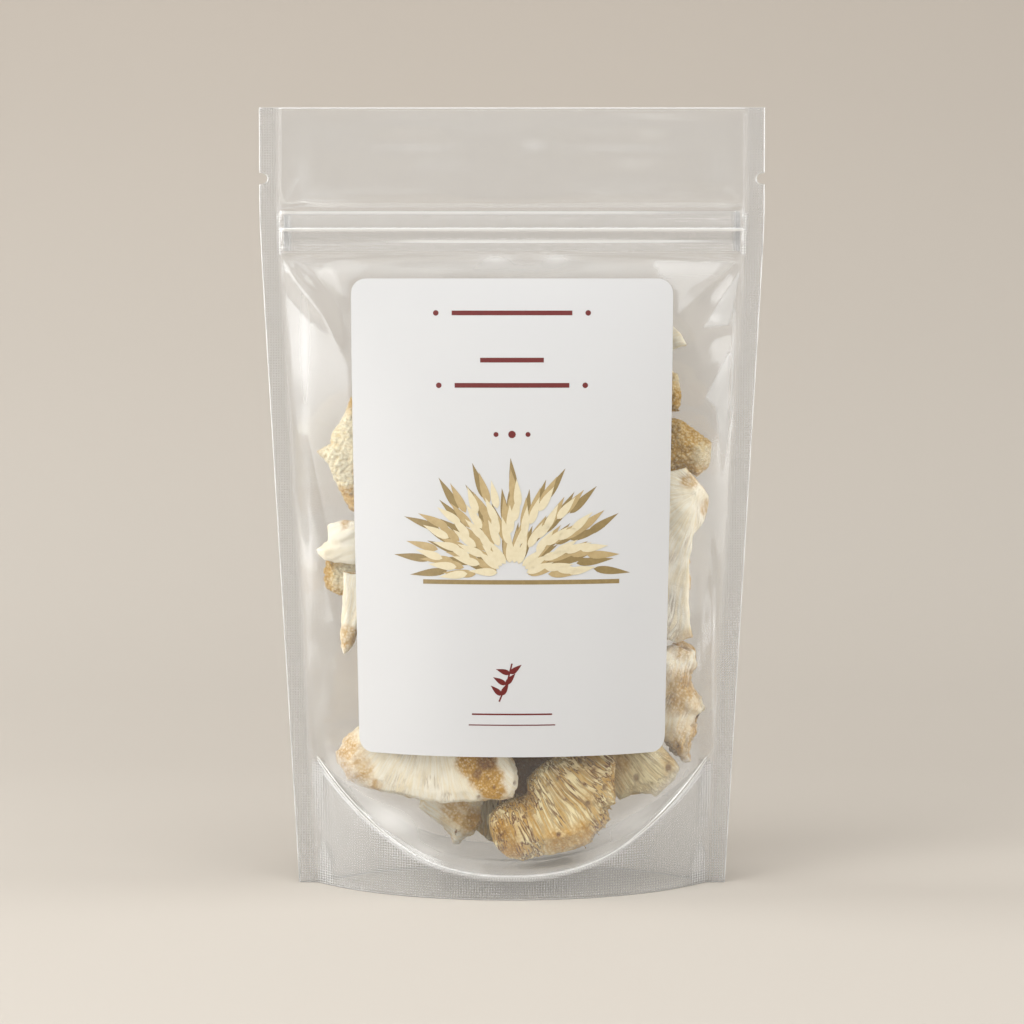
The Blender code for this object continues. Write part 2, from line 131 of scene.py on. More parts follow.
def belly(x, z):
    """How far the filled pouch stands out from its middle plane."""
    up = np.clip(z / BELLY_TOP, 0.0, 1.0)
    depth = BELLY_DEPTH * (1 - up ** BELLY_CURVE) ** BELLY_POWER
    across = np.minimum(1.0, (x / inner_half(z)) ** 2)
    return depth * (1 - across) * (1 + FLATNESS * across)


def lips(x, z):
    """How far the zip and the mouth above it hold the film out."""
    inside = smooth(inner_half(z) - np.abs(x), 0, ZIP_EDGE)
    over_zip = smooth(z, ZIP_LOW - 3.8, ZIP_LOW - 0.4)
    above = smooth(z, ZIP_HIGH + 0.4, ZIP_HIGH + 3.4)
    return inside * (ZIP_STAND * over_zip * (1 - above) + LIP_STAND * above)


def wall(x, z):
    """Distance of the film's outer skin from the middle plane."""
    return GAP / 2 + FILM + np.hypot(belly(x, z), lips(x, z))


def arc_height(x):
    """Height of the gusset's floor, and of the seal that joins it to the wall."""
    return ARC_MIDDLE + ARC_RISE * (np.abs(x) / ARC_REACH) ** ARC_POWER


def along_wall(length, z):
    """The place across the pouch that lies a length along the wall from its middle."""
    x = np.zeros_like(length)
    for _ in range(16):
        slope = wall(x + 0.5, z) - wall(x - 0.5, z)
        x = x + length / 16 / np.hypot(1, slope)
    return x


# Noise

def lattice(cells, seed):
    """A random share for each whole cell."""
    mixed = cells[..., 0] * 73856093 ^ cells[..., 1] * 19349663 ^ cells[..., 2] * 83492791
    mixed = (mixed + seed * 668265263) & 0x7FFFFFFF
    mixed = ((mixed ^ (mixed >> 13)) * 1274126177) & 0x7FFFFFFF
    mixed = ((mixed ^ (mixed >> 15)) * 1103515245) & 0x7FFFFFFF
    return ((mixed >> 8) & 0xFFFF) / 65535.0


def grain(points, pitch, seed=0):
    """Smooth noise from -1 to 1 whose lumps are about a pitch apart."""
    scaled = np.asarray(points, float) / pitch
    low = np.floor(scaled).astype(np.int64)
    share = scaled - low
    share = share * share * (3 - 2 * share)
    total = np.zeros(len(scaled))
    for corner in product((0, 1), repeat=3):
        weight = np.prod(np.where(corner, share, 1 - share), axis=-1)
        total += weight * lattice(low + np.array(corner), seed)
    return 2 * total - 1


def pebbles(points, pitch, seed=0):
    """Distance to the nearest of many scattered spots, in shares of their pitch."""
    scaled = np.asarray(points, float) / pitch
    low = np.floor(scaled).astype(np.int64)
    nearest = np.full(len(scaled), 9.0)
    for corner in product((-1, 0, 1), repeat=3):
        cell = low + np.array(corner)
        spot = cell + np.stack([lattice(cell, seed + turn) for turn in range(3)], axis=-1)
        nearest = np.minimum(nearest, np.linalg.norm(scaled - spot, axis=-1))
    return nearest


def flat_points(x, z):
    """Points of the wall's plane, for the noise."""
    return np.stack([x, np.zeros_like(x), z], axis=-1)


# Materials

def linear(colour):
    """A colour written as sRGB hex, such as "#E5DDCA", as linear red, green, blue and alpha."""
    shares = [int(colour[at:at + 2], 16) / 255 for at in (1, 3, 5)]
    bent = [s / 12.92 if s <= 0.04045 else ((s + 0.055) / 1.055) ** 2.4 for s in shares]
    return (*bent, 1.0)


def add(tree, kind, settings):
    """Add a node. A key is a property, or an input's name or number, given a value or a link."""
    made = tree.nodes.new(kind)
    for key, value in settings.items():
        if isinstance(key, str) and key in made.bl_rna.properties:
            setattr(made, key, value)
        elif isinstance(value, bpy.types.NodeSocket):
            tree.links.new(value, made.inputs[key])
        else:
            made.inputs[key].default_value = value
    return made


def new_material(name):
    """An empty node material and its tree."""
    made = bpy.data.materials.new(name)
    made.use_nodes = True
    made.node_tree.nodes.clear()
    return made, made.node_tree


def film_material(name, haze, clear, sealed, veil=0.45):
    """Pouch film: blown PET and polyethylene laminate, clear with a faint milkiness.

    Alpha is the share of light that the film's haze and gleam take, with veil added at grazing
    angles. As the gleam is scaled by that share too, its index is raised to keep the strength of
    a real film's gleam.
    """
    made, tree = new_material(name)
    inset, sealed_here, whitening_and_painted_light, first, second = (
        add(tree, "ShaderNodeAttribute", {"attribute_name": share}).outputs["Fac"]
        for share in ("inset", "seal", "whitening_and_painted_light", "first", "second"))
    place = add(tree, "ShaderNodeUVMap", {"uv_map": "millimetres"}).outputs["UV"]
    split = add(tree, "ShaderNodeSeparateXYZ", {0: place})
    # Heated bars print a square knurl into the seals
    waves = []
    for axis in range(2):
        turned = add(tree, "ShaderNodeMath", {
            "operation": "MULTIPLY", 0: split.outputs[axis], 1: 2 * np.pi / KNURL})
        waves.append(add(tree, "ShaderNodeMath", {"operation": "SINE", 0: turned.outputs[0]}))
    lattice_wave = add(tree, "ShaderNodeMath", {
        "operation": "MULTIPLY_ADD", 0: waves[0].outputs[0], 1: 1.2, 2: waves[1].outputs[0]})
    knurl = add(tree, "ShaderNodeMath", {
        "operation": "MULTIPLY", 0: lattice_wave.outputs[0], 1: sealed_here})
    # Painted highlights: cut edges and the two raised lines of the curved seal are whitened where they
    # would gather light
    below_top = add(tree, "ShaderNodeMath", {"operation": "SUBTRACT", 0: HEIGHT, 1: split.outputs[1]})
    nearest = inset
    for value in (split.outputs[1], below_top.outputs[0], first, second):
        off = add(tree, "ShaderNodeMath", {"operation": "ABSOLUTE", 0: value})
        nearest = add(tree, "ShaderNodeMath", {
            "operation": "MINIMUM", 0: nearest, 1: off.outputs[0]}).outputs[0]
    edge = add(tree, "ShaderNodeMapRange", {
        "Value": nearest, "From Min": 0.5, "From Max": 0.15, "To Max": 0.85})
    hazy = add(tree, "ShaderNodeMapRange", {"Value": sealed_here, "To Min": clear, "To Max": sealed})
    printed = add(tree, "ShaderNodeMath", {
        "operation": "MULTIPLY_ADD", 0: knurl.outputs[0], 1: 0.09, 2: hazy.outputs[0]})
    # Adds the white of welds and the painted highlights, painted glow and painted clouds of light
    welded = add(tree, "ShaderNodeMath", {"operation": "ADD", 0: whitening_and_painted_light, 1: printed.outputs[0]})
    edged = add(tree, "ShaderNodeMath", {
        "operation": "MAXIMUM", 0: welded.outputs[0], 1: edge.outputs[0]})
    facing = add(tree, "ShaderNodeLayerWeight", {"Blend": 0.35}).outputs["Facing"]
    grazing = add(tree, "ShaderNodeMath", {"operation": "POWER", 0: facing, 1: 3.0})
    alpha = add(tree, "ShaderNodeMath", {
        "operation": "MULTIPLY_ADD", 0: grazing.outputs[0], 1: veil, 2: edged.outputs[0],
        "use_clamp": True})
    bump = add(tree, "ShaderNodeBump", {
        "Strength": 1.0, "Distance": 0.15 * MM, "Height": knurl.outputs[0]})
    rough = add(tree, "ShaderNodeMapRange", {"Value": sealed_here, "To Min": 0.12, "To Max": 0.26})
    # Painted shade: the haze is darkened towards grey-brown in the knurl's grooves
    painted_groove_shade = add(tree, "ShaderNodeMapRange", {
        "Value": knurl.outputs[0], "From Min": 0.3, "From Max": -1.2, "To Max": 0.55})
    haze_with_painted_shade = add(tree, "ShaderNodeMix", {
        "data_type": "RGBA", "Factor": painted_groove_shade.outputs[0], 6: linear(haze), 7: linear("#6E6A64")})
    skin = add(tree, "ShaderNodeBsdfPrincipled", {
        "Base Color": haze_with_painted_shade.outputs["Result"], "Roughness": rough.outputs[0], "IOR": 2.0,
        "Specular IOR Level": 1.0, "Alpha": alpha.outputs[0], "Normal": bump.outputs["Normal"]})
    add(tree, "ShaderNodeOutputMaterial", {"Surface": skin.outputs[0]})
    return made


def inner_material(name, haze, clear):
    """The inner face of the film: polyethylene, smooth and plain."""
    made, tree = new_material(name)
    facing = add(tree, "ShaderNodeLayerWeight", {"Blend": 0.35}).outputs["Facing"]
    alpha = add(tree, "ShaderNodeMapRange", {"Value": facing, "To Min": clear, "To Max": 0.3})
    skin = add(tree, "ShaderNodeBsdfPrincipled", {
        "Base Color": linear(haze), "Roughness": 0.14, "IOR": 2.4, "Specular IOR Level": 1.0,
        "Alpha": alpha.outputs[0]})
    add(tree, "ShaderNodeOutputMaterial", {"Surface": skin.outputs[0]})
    return made


def zip_material(name, haze):
    """Zip profile: extruded low-density polyethylene, waxy, clearer where it is thin."""
    made, tree = new_material(name)
    whitening_and_painted_light = add(tree, "ShaderNodeAttribute", {"attribute_name": "whitening_and_painted_light"}).outputs["Fac"]
    coordinates = add(tree, "ShaderNodeTexCoord", {}).outputs["Object"]
    drawn = add(tree, "ShaderNodeMapping", {"Vector": coordinates, "Scale": (0.15, 1.0, 1.0)})
    # Drawing leaves streaks along the strip, 2.2 of them to a millimetre
    streak = add(tree, "ShaderNodeTexNoise", {
        "Vector": drawn.outputs[0], "Scale": 2.2 / MM, "Detail": 2.0})
    facing = add(tree, "ShaderNodeLayerWeight", {"Blend": 0.4}).outputs["Facing"]
    side = add(tree, "ShaderNodeMapRange", {"Value": facing, "To Min": 0.04, "To Max": 0.32})
    alpha = add(tree, "ShaderNodeMath", {
        "operation": "MULTIPLY_ADD", 0: whitening_and_painted_light, 1: 0.5, 2: side.outputs[0], "use_clamp": True})
    bump = add(tree, "ShaderNodeBump", {
        "Strength": 0.3, "Distance": 0.05 * MM, "Height": streak.outputs["Fac"]})
    skin = add(tree, "ShaderNodeBsdfPrincipled", {
        "Base Color": linear(haze), "Roughness": 0.22, "IOR": 1.8, "Specular IOR Level": 1.0,
        "Alpha": alpha.outputs[0], "Normal": bump.outputs["Normal"]})
    add(tree, "ShaderNodeOutputMaterial", {"Surface": skin.outputs[0]})
    return made


def paper_material(name, colour):
    """Label: coated paper with a satin face. Its fibres, 0.4 mm long, barely show."""
    made, tree = new_material(name)
    coordinates = add(tree, "ShaderNodeTexCoord", {}).outputs["Object"]
    fibre = add(tree, "ShaderNodeTexNoise", {
        "Vector": coordinates, "Scale": 1 / (0.4 * MM), "Detail": 4.0, "Roughness": 0.7})
    # Its white is a little uneven, in clouds about 22 mm wide
    cloud = add(tree, "ShaderNodeTexNoise", {
        "Vector": coordinates, "Scale": 0.045 / MM, "Detail": 2.0})
    tint = add(tree, "ShaderNodeMapRange", {
        "Value": cloud.outputs["Fac"], "From Min": 0.3, "From Max": 0.7, "To Max": 0.12})
    mixed = add(tree, "ShaderNodeMix", {
        "data_type": "RGBA", "Factor": tint.outputs[0], 6: linear(colour), 7: linear("#D5D4D1")})
    rough = add(tree, "ShaderNodeMapRange", {
        "Value": fibre.outputs["Fac"], "From Min": 0.3, "From Max": 0.7,
        "To Min": 0.36, "To Max": 0.46})
    bump = add(tree, "ShaderNodeBump", {
        "Strength": 0.12, "Distance": 0.04 * MM, "Height": fibre.outputs["Fac"]})
    skin = add(tree, "ShaderNodeBsdfPrincipled", {
        "Base Color": mixed.outputs["Result"], "Roughness": rough.outputs[0], "IOR": 1.5,
        "Normal": bump.outputs["Normal"]})
    add(tree, "ShaderNodeOutputMaterial", {"Surface": skin.outputs[0]})
    return made


def ink_material(name, colour, shade):
    """Print: a thin film of ink, a little glossier than the paper, with a fine even grain."""
    made, tree = new_material(name)
    coordinates = add(tree, "ShaderNodeTexCoord", {}).outputs["Object"]
    spread = add(tree, "ShaderNodeTexNoise", {
        "Vector": coordinates, "Scale": 1 / (1.5 * MM), "Detail": 5.0, "Roughness": 0.6})
    mixed = add(tree, "ShaderNodeMix", {
        "data_type": "RGBA", "Factor": spread.outputs["Fac"], 6: linear(colour), 7: linear(shade)})
    skin = add(tree, "ShaderNodeBsdfPrincipled", {
        "Base Color": mixed.outputs["Result"], "Roughness": 0.38, "IOR": 1.5})
    add(tree, "ShaderNodeOutputMaterial", {"Surface": skin.outputs[0]})
    return made


def dried_material(name, pale, tan, golden, brown, grit, depth):
    """Dried mushroom: matt, leathery tissue. Its ridges are paler and its hollows darker brown.

    golden, hollow, streak, gaps and fibre are worked out with the shape: fibre runs once across
    and once along a fibre in each unit. grit is the grain in millimetres and depth how far that
    grain stands up.
    """
    made, tree = new_material(name)
    gold, hollow, streak, gaps = (
        add(tree, "ShaderNodeAttribute", {"attribute_name": share}).outputs["Fac"]
        for share in ("golden", "hollow", "streak", "gaps"))
    fibre = add(tree, "ShaderNodeAttribute", {"attribute_name": "fibre"}).outputs["Vector"]
    coordinates = add(tree, "ShaderNodeTexCoord", {}).outputs["Object"]
    fine = add(tree, "ShaderNodeTexNoise", {
        "Vector": coordinates, "Scale": 1 / (grit * MM), "Detail": 3.0, "Roughness": 0.65})
    patch = add(tree, "ShaderNodeTexNoise", {
        "Vector": coordinates, "Scale": 1 / (7 * MM), "Detail": 3.0, "Roughness": 0.6})
    thread = add(tree, "ShaderNodeTexNoise", {
        "Vector": fibre, "Scale": 1.0, "Detail": 2.0, "Roughness": 0.5})
    # Fibres part along the thin lines where their noise passes its middle
    off = add(tree, "ShaderNodeMath", {"operation": "SUBTRACT", 0: thread.outputs["Fac"], 1: 0.5})
    apart = add(tree, "ShaderNodeMath", {"operation": "ABSOLUTE", 0: off.outputs[0]})
    parted = add(tree, "ShaderNodeMapRange", {
        "Value": apart.outputs[0], "From Min": 0.07, "From Max": 0.015})
    gap = add(tree, "ShaderNodeMath", {"operation": "MULTIPLY", 0: parted.outputs[0], 1: gaps})
    cloudy = add(tree, "ShaderNodeMapRange", {
        "Value": patch.outputs["Fac"], "From Min": 0.45, "From Max": 0.75, "To Max": 0.25})
    striped = add(tree, "ShaderNodeMapRange", {
        "Value": off.outputs[0], "From Min": -0.08, "From Max": 0.14})
    lines = add(tree, "ShaderNodeMath", {
        "operation": "MULTIPLY_ADD", 0: striped.outputs[0], 1: streak, 2: cloudy.outputs[0],
        "use_clamp": True})
    flesh = add(tree, "ShaderNodeMix", {
        "data_type": "RGBA", "Factor": lines.outputs[0], 6: linear(pale), 7: linear(tan)})
    speckled = add(tree, "ShaderNodeMapRange", {
        "Value": fine.outputs["Fac"], "From Min": 0.3, "From Max": 0.7, "To Min": -0.5, "To Max": 0.5})
    # Toasted skin is packed with pale grains about 0.95 mm wide, and golden between them
    packed = add(tree, "ShaderNodeTexVoronoi", {"Vector": coordinates, "Scale": 1 / (0.95 * MM)})
    between = add(tree, "ShaderNodeMapRange", {
        "Value": packed.outputs["Distance"], "From Min": 0.2, "From Max": 0.65})
    grains = add(tree, "ShaderNodeMath", {"operation": "MULTIPLY", 0: between.outputs[0], 1: gold})
    uneven = add(tree, "ShaderNodeMath", {
        "operation": "MULTIPLY_ADD", 0: speckled.outputs[0], 1: 0.7, 2: 0.72})
    gritty = add(tree, "ShaderNodeMath", {
        "operation": "MULTIPLY_ADD", 0: between.outputs[0], 1: 0.5, 2: uneven.outputs[0]})
    toasted = add(tree, "ShaderNodeMath", {
        "operation": "MULTIPLY", 0: gold, 1: gritty.outputs[0], "use_clamp": True})
    warmed = add(tree, "ShaderNodeMix", {
        "data_type": "RGBA", "Factor": toasted.outputs[0],
        6: flesh.outputs["Result"], 7: linear(golden)})
    spots = add(tree, "ShaderNodeMath", {
        "operation": "MULTIPLY_ADD", 0: grains.outputs[0], 1: 0.36, 2: hollow})
    sunk = add(tree, "ShaderNodeMath", {
        "operation": "MAXIMUM", 0: spots.outputs[0], 1: gap.outputs[0], "use_clamp": True})
    shaded = add(tree, "ShaderNodeMix", {
        "data_type": "RGBA", "Factor": sunk.outputs[0],
        6: warmed.outputs["Result"], 7: linear(brown)})
    sunken = add(tree, "ShaderNodeMath", {"operation": "ADD", 0: gap.outputs[0], 1: grains.outputs[0]})
    carved = add(tree, "ShaderNodeMath", {
        "operation": "MULTIPLY_ADD", 0: sunken.outputs[0], 1: -1.2, 2: fine.outputs["Fac"]})
    bump = add(tree, "ShaderNodeBump", {
        "Strength": 0.8, "Distance": depth * MM, "Height": carved.outputs[0]})
    rough = add(tree, "ShaderNodeMapRange", {
        "Value": fine.outputs["Fac"], "To Min": 0.55, "To Max": 0.85})
    skin = add(tree, "ShaderNodeBsdfPrincipled", {
        "Base Color": shaded.outputs["Result"], "Roughness": rough.outputs[0], "IOR": 1.45,
        "Normal": bump.outputs["Normal"]})
    add(tree, "ShaderNodeOutputMaterial", {"Surface": skin.outputs[0]})
    return made


# Meshes

def finish(bm, name, material, slot, *nodes, attributes=None, lining=None, crisp=False):
    """Turn a bmesh in millimetres into a finished piece that rides on the pouch."""
    if lining is None:
        for face in bm.faces:
            face.material_index = 0
    bmesh.ops.scale(bm, vec=Vector((MM, MM, MM)), verts=bm.verts)
    mesh = bpy.data.meshes.new(name)
    bm.to_mesh(mesh)
    bm.free()
    made = bpy.data.objects.new(name, mesh)
    bpy.context.scene.collection.objects.link(made)
    mesh.materials.append(material)
    if lining:
        mesh.materials.append(lining)
    mesh.polygons.foreach_set("use_smooth", [True] * len(mesh.polygons))
    if crisp:
        mesh.set_sharp_from_angle(angle=radians(50))
    spread(mesh, attributes or {})
    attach(made, "root")
    if nodes:
        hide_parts(*nodes)
    return made


def points_of(mesh):
    """The mesh's points as an array, in millimetres."""
    points = np.empty(len(mesh.vertices) * 3)
    mesh.vertices.foreach_get("co", points)
    return points.reshape(-1, 3) / MM


def spread(mesh, attributes):
    """Give each vertex its share of each attribute. A function works from the points."""
    points = points_of(mesh)
    for name, values in attributes.items():
        values = values(points) if callable(values) else values
        kind, field = ("FLOAT_VECTOR", "vector") if values.ndim == 2 else ("FLOAT", "value")
        layer = mesh.attributes.new(name, kind, "POINT")
        layer.data.foreach_set(field, np.ascontiguousarray(values, dtype=np.float32).ravel())


def add_millimetres(mesh):
    """A UV map that holds the places across and up the pouch, in millimetres."""
    layer = mesh.uv_layers.new(name="millimetres")
    corner = np.empty(len(mesh.loops), dtype=np.int32)
    mesh.loops.foreach_get("vertex_index", corner)
    layer.data.foreach_set("uv", np.ascontiguousarray(points_of(mesh)[corner][:, (0, 2)]).ravel())


def move_to(bm, points):
    """Put each vertex at its point."""
    for vert, co in zip(bm.verts, points):
        vert.co = co


def woven(columns, rows, place):
    """A sheet whose lines lie at columns and rows, each point put where place says."""
    bm = bmesh.new()
    across, up = len(columns) - 1, len(rows) - 1
    bmesh.ops.create_grid(bm, x_segments=across, y_segments=up, size=1.0)
    points = np.array([vert.co for vert in bm.verts])
    column = np.asarray(columns)[np.rint((points[:, 0] + 1) / 2 * across).astype(int)]
    row = np.asarray(rows)[np.rint((points[:, 1] + 1) / 2 * up).astype(int)]
    move_to(bm, place(column, row))
    return bm


def thicken(bm, thickness):
    """Close a sheet into a thin wall on the side away from its normals, with its own lining."""
    bm.normal_update()
    outer = bm.faces[:]
    bmesh.ops.solidify(bm, geom=outer, thickness=thickness)
    kept = set(outer)
    for face in bm.faces:
        if face not in kept:
            face.material_index = 1


def steps(*stretches):
    """Places along a line: each stretch is (start, end, spacing)."""
    places = []
    for start, end, spacing in stretches:
        count = max(1, round((end - start) / spacing))
        places += list(np.linspace(start, end, count, endpoint=False))
    return np.array(places + [stretches[-1][1]])


def both_ways(shares):
    """Shares from 0 outwards, mirrored to run from one side to the other."""
    return np.concatenate([-shares[:0:-1], shares])


# Film

# Folds in the front film, as points (across, up) in millimetres from the zip's end downwards,
# the reach of the fold to its left and right, and how far it stands out (or in, if negative)
FOLDS = (
    (((-72.6, 199.8), (-67.5, 192), (-59.5, 181.5), (-56, 174.5), (-51.8, 165)), 5.0, 4.0, 1.5),
    (((-71.8, 200), (-68, 198), (-52, 186.5)), 3.4, 7.0, -0.6),
    (((-71.4, 195.5), (-63, 170), (-60.5, 157)), 3.0, 3.0, 0.25),
    (((-64.6, 142), (-59, 115), (-58, 70)), 5.0, 3.5, 0.45),
    (((70, 199.3), (61.8, 193), (53, 188)), 5.0, 3.0, 0.6),
    (((72.6, 199.3), (69.7, 195.3), (60.8, 180)), 4.0, 5.0, -0.5),
    (((72, 179), (60, 178.4)), 3.0, 4.5, 0.4),
    (((69.5, 172.5), (60.8, 154.5), (58.2, 147.5)), 4.0, 4.0, -0.5),
    (((63.2, 110.5), (60.8, 92), (60.4, 63)), 3.0, 4.5, 0.5),
    (((63.2, 110.5), (64.6, 92), (64.4, 63)), 4.0, 1.6, -0.8),
    (((-72, 214.8), (-68, 222), (-65, 229)), 2.6, 2.6, 0.5),
    (((-72, 214.6), (-66, 216), (-61, 216.3)), 1.3, 1.6, 0.5),
    (((72.3, 215), (69, 220), (65, 219.4)), 2.0, 2.0, 0.5),
    (((72.6, 216), (69.5, 228)), 2.4, 2.4, 0.4),
)

# How many of them lie below the zip, and how much lower their like lie in the back film
BODY_FOLDS, BACK_DROP = 10, 4


def fold_height(x, z, path, left, right, height):
    """A fold with a sharp crest along its path and flat sides, fading at its lower end."""
    path = np.array(path, float)
    spans = path[1:] - path[:-1]
    lengths = np.hypot(spans[:, 0], spans[:, 1])
    total = lengths.sum()
    nearest = np.full(len(x), 1e9)
    offset = np.zeros(len(x))
    along = np.zeros(len(x))
    gone = 0.0
    for start, span, length in zip(path[:-1], spans, lengths):
        share = ((x - start[0]) * span[0] + (z - start[1]) * span[1]) / length ** 2
        held = np.clip(share, 0, 1)
        away_x = x - start[0] - held * span[0]
        away_z = z - start[1] - held * span[1]
        away = np.hypot(away_x, away_z)
        turn = np.sign(away_x * -span[1] + away_z * span[0])
        closer = away < nearest
        nearest = np.where(closer, away, nearest)
        offset = np.where(closer, turn * away, offset)
        along = np.where(closer, (gone + held * length) / total, along)
        gone += length
    reach = np.where(offset > 0, right, left)
    rounded = np.hypot(nearest, 0.25) - 0.25
    tent = np.clip(1 - rounded / reach, 0, 1)
    fade = smooth(along, 1.0, 0.45) * (0.35 + 0.65 * smooth(along, 0.0, 0.12))
    return height * tent * fade


def folds_of(side):
    """The folds of one film. The back's are the front's below the zip, mirrored and lower."""
    if side < 0:
        return FOLDS
    return [(tuple((-across, up - BACK_DROP) for across, up in path), right, left, 0.9 * height)
            for path, left, right, height in FOLDS[:BODY_FOLDS]]


def label_calm(x, z):
    """1 under the label and 0 away from it."""
    side = smooth(np.abs(x), LABEL_HALF_WIDTH + 1.5, LABEL_HALF_WIDTH - 5)
    return side * smooth(z, LABEL_LOW - 4, LABEL_LOW + 2) * smooth(z, LABEL_HIGH + 4, LABEL_HIGH - 2)


def arc_parting(x):
    """How far the second line of the curved seal lies above the first."""
    return 1.1 * smooth(np.abs(x), 28, 48)


def film_relief(x, z, side):
    """How far the creased film stands out from the smooth wall. side is -1 in front."""
    seed = 11 if side < 0 else 47
    points = flat_points(x, z)
    inside = inner_half(z) - np.abs(x)
    loose = smooth(inside, 0.0, 5.0)
    above = smooth(z, ZIP_HIGH + 1.5, ZIP_HIGH + 8) * smooth(z, HEIGHT, HEIGHT - 6)
    body = smooth(z, ZIP_LOW - 1, ZIP_LOW - 12) * smooth(z - arc_height(x), 0, 8)
    skirt = smooth(z - arc_height(x), 0, -6)
    # Soft waves above the zip run across the pouch, and those below it run down
    across = grain(points * (1.0, 1.0, 3.2), 30.0, seed) + 0.4 * grain(points, 9.0, seed + 1)
    down = grain(points * (2.6, 1.0, 1.0), 34.0, seed + 2) + 0.35 * grain(points, 11.0, seed + 3)
    relief = loose * (0.55 * above * across + 0.5 * body * down)
    relief += 0.25 * skirt * loose * grain(points * (1.0, 1.0, 0.4), 12.0, seed + 4)
    for fold in folds_of(side):
        relief += fold_height(x, z, *fold)
    if side < 0:
        relief = relief * (1 - label_calm(x, z))
    # The zip's profile shows through the film as two lines, the lower one fading to the ends
    in_zip = smooth(inside, 0, 1.5)
    lower, upper = ZIP_RIBS
    relief += in_zip * 0.42 * np.exp(-((z - upper) / 0.45) ** 2)
    relief += in_zip * 0.3 * np.exp(-((z - lower) / 0.4) ** 2) * smooth(np.abs(x + 6), 62, 40)
    relief += in_zip * 0.16 * np.exp(-((z - ZIP_LOW) / 0.4) ** 2)
    # The curved seal of the gusset: two raised lines that meet towards the middle
    over = z - arc_height(x)
    bead = 0.4 if side < 0 else 0.1
    relief += loose * bead * np.exp(-((over - 0.3) / 0.6) ** 2)
    relief += loose * bead * np.exp(-((over - 0.3 - arc_parting(x)) / 0.5) ** 2)
    return relief * smooth(inside, 0.0, 1.0)


def notch_depth(z):
    """How deep the tear notches cut into the edge."""
    level = np.abs(z - NOTCH_Z)
    round_end = np.sqrt(np.maximum(0.0, NOTCH_RADIUS ** 2 - level ** 2))
    return np.where(level < NOTCH_RADIUS, NOTCH_DEPTH - NOTCH_RADIUS + round_end, 0.0)


# The bands where the zip's strips are welded to the films, as (low, high)
ZIP_BANDS = ((200.6, 204.0), (209.6, 212.8))

# The middles of the zip's two painted highlight lines that fade along it
FADING_LINE, TOP_LINE = 204.9, 213.9

# Painted highlights of the zip's profile seen through the front film: how white, as (up, share)
ZIP_PAINTED_HIGHLIGHT = (
    (199.8, 0.0), (200.4, 0.2), (200.8, 0.02), (203.6, 0.05), (204.2, 0.12), (204.6, 0.75),
    (205.1, 0.75), (205.4, 0.04), (206.2, 0.1), (207.3, 0.12), (207.7, 0.0), (208.2, 0.85),
    (208.8, 0.85), (209.1, 0.08), (210.0, 0.02), (211.6, 0.04), (213.0, 0.12), (213.6, 0.7),
    (214.2, 0.7), (214.5, 0.0),
)

# Painted highlights where the creased front film would catch light: corners (across, up) of each flat
# facet, how white it is, and the heights between which it fades in
PAINTED_FACETS = (
    (((-73, 199.4), (-67.3, 191.8), (-59.4, 181.3), (-56.2, 175), (-51.7, 165.4), (-50.8, 140),
      (-68, 140), (-70.5, 172.7), (-71.7, 185.5)), 0.2, (140, 168)),
    (((-73, 199.4), (-67.3, 191.8), (-62, 178), (-60, 160), (-62, 140), (-68, 140), (-70.5, 172.7)),
     0.24, (138, 175)),
    (((-68, 198.8), (-51.8, 186.5), (-51.5, 192), (-45, 197), (-52, 199.3)), 0.12, (0, 1)),
    (((-65.2, 138), (-64.0, 138), (-63.2, 100), (-64.2, 69), (-65.4, 69), (-64.7, 110)), 0.1, (0, 1)),
    (((43.8, 198.9), (72.4, 198.9), (61.8, 190.2), (52.3, 181.7), (52.3, 188.7), (47, 193.4)),
     0.25, (0, 1)),
    (((72.4, 196.1), (60.2, 177.5), (68.6, 178.1), (70.2, 182.9), (71.7, 191.3)), 0.42, (0, 1)),
    (((69.7, 184), (71.0, 184), (70.2, 142), (69.0, 142)), 0.35, (130, 150)),
    (((69.2, 171.1), (61, 155.5), (64.5, 152), (65.5, 144), (65, 134), (66, 122), (68.4, 122)),
     0.4, (122, 150)),
    (((64.9, 96), (64.0, 96), (63.5, 70), (64.2, 42), (65.2, 42), (64.7, 70)), 0.35, (0, 1)),
)

# Painted soft clouds of light: middle across and up, half width, half height and how white each is
PAINTED_CLOUDS = (
    (-31, 234.5, 12, 1.6, 0.2), (7, 235, 4, 2.0, 0.3), (35, 234.2, 14, 1.4, 0.2),
    (-20, 242, 22, 4, 0.1), (30, 241, 26, 4, 0.08), (-60, 219, 9, 2.5, 0.2), (-66, 226, 3, 6, 0.2),
    (40, 221, 14, 3, 0.14), (66, 226, 4, 7, 0.1), (-5, 199.0, 5, 1.3, 0.3), (14, 199.2, 5, 1.3, 0.3),
    (0, 196.5, 60, 3, 0.34), (-38, 24, 9, 5, 0.4), (-27, 14, 9, 3, 0.25), (-8, 11, 12, 2.5, 0.12),
    (42, 22, 9, 4, 0.22), (31, 13, 9, 3, 0.18), (67, 150, 3, 50, 0.1), (-65.5, 130, 1.3, 62, 0.14),
    (-20, 228, 9, 3, 0.08), (-66, 140, 4, 60, 0.12),
)


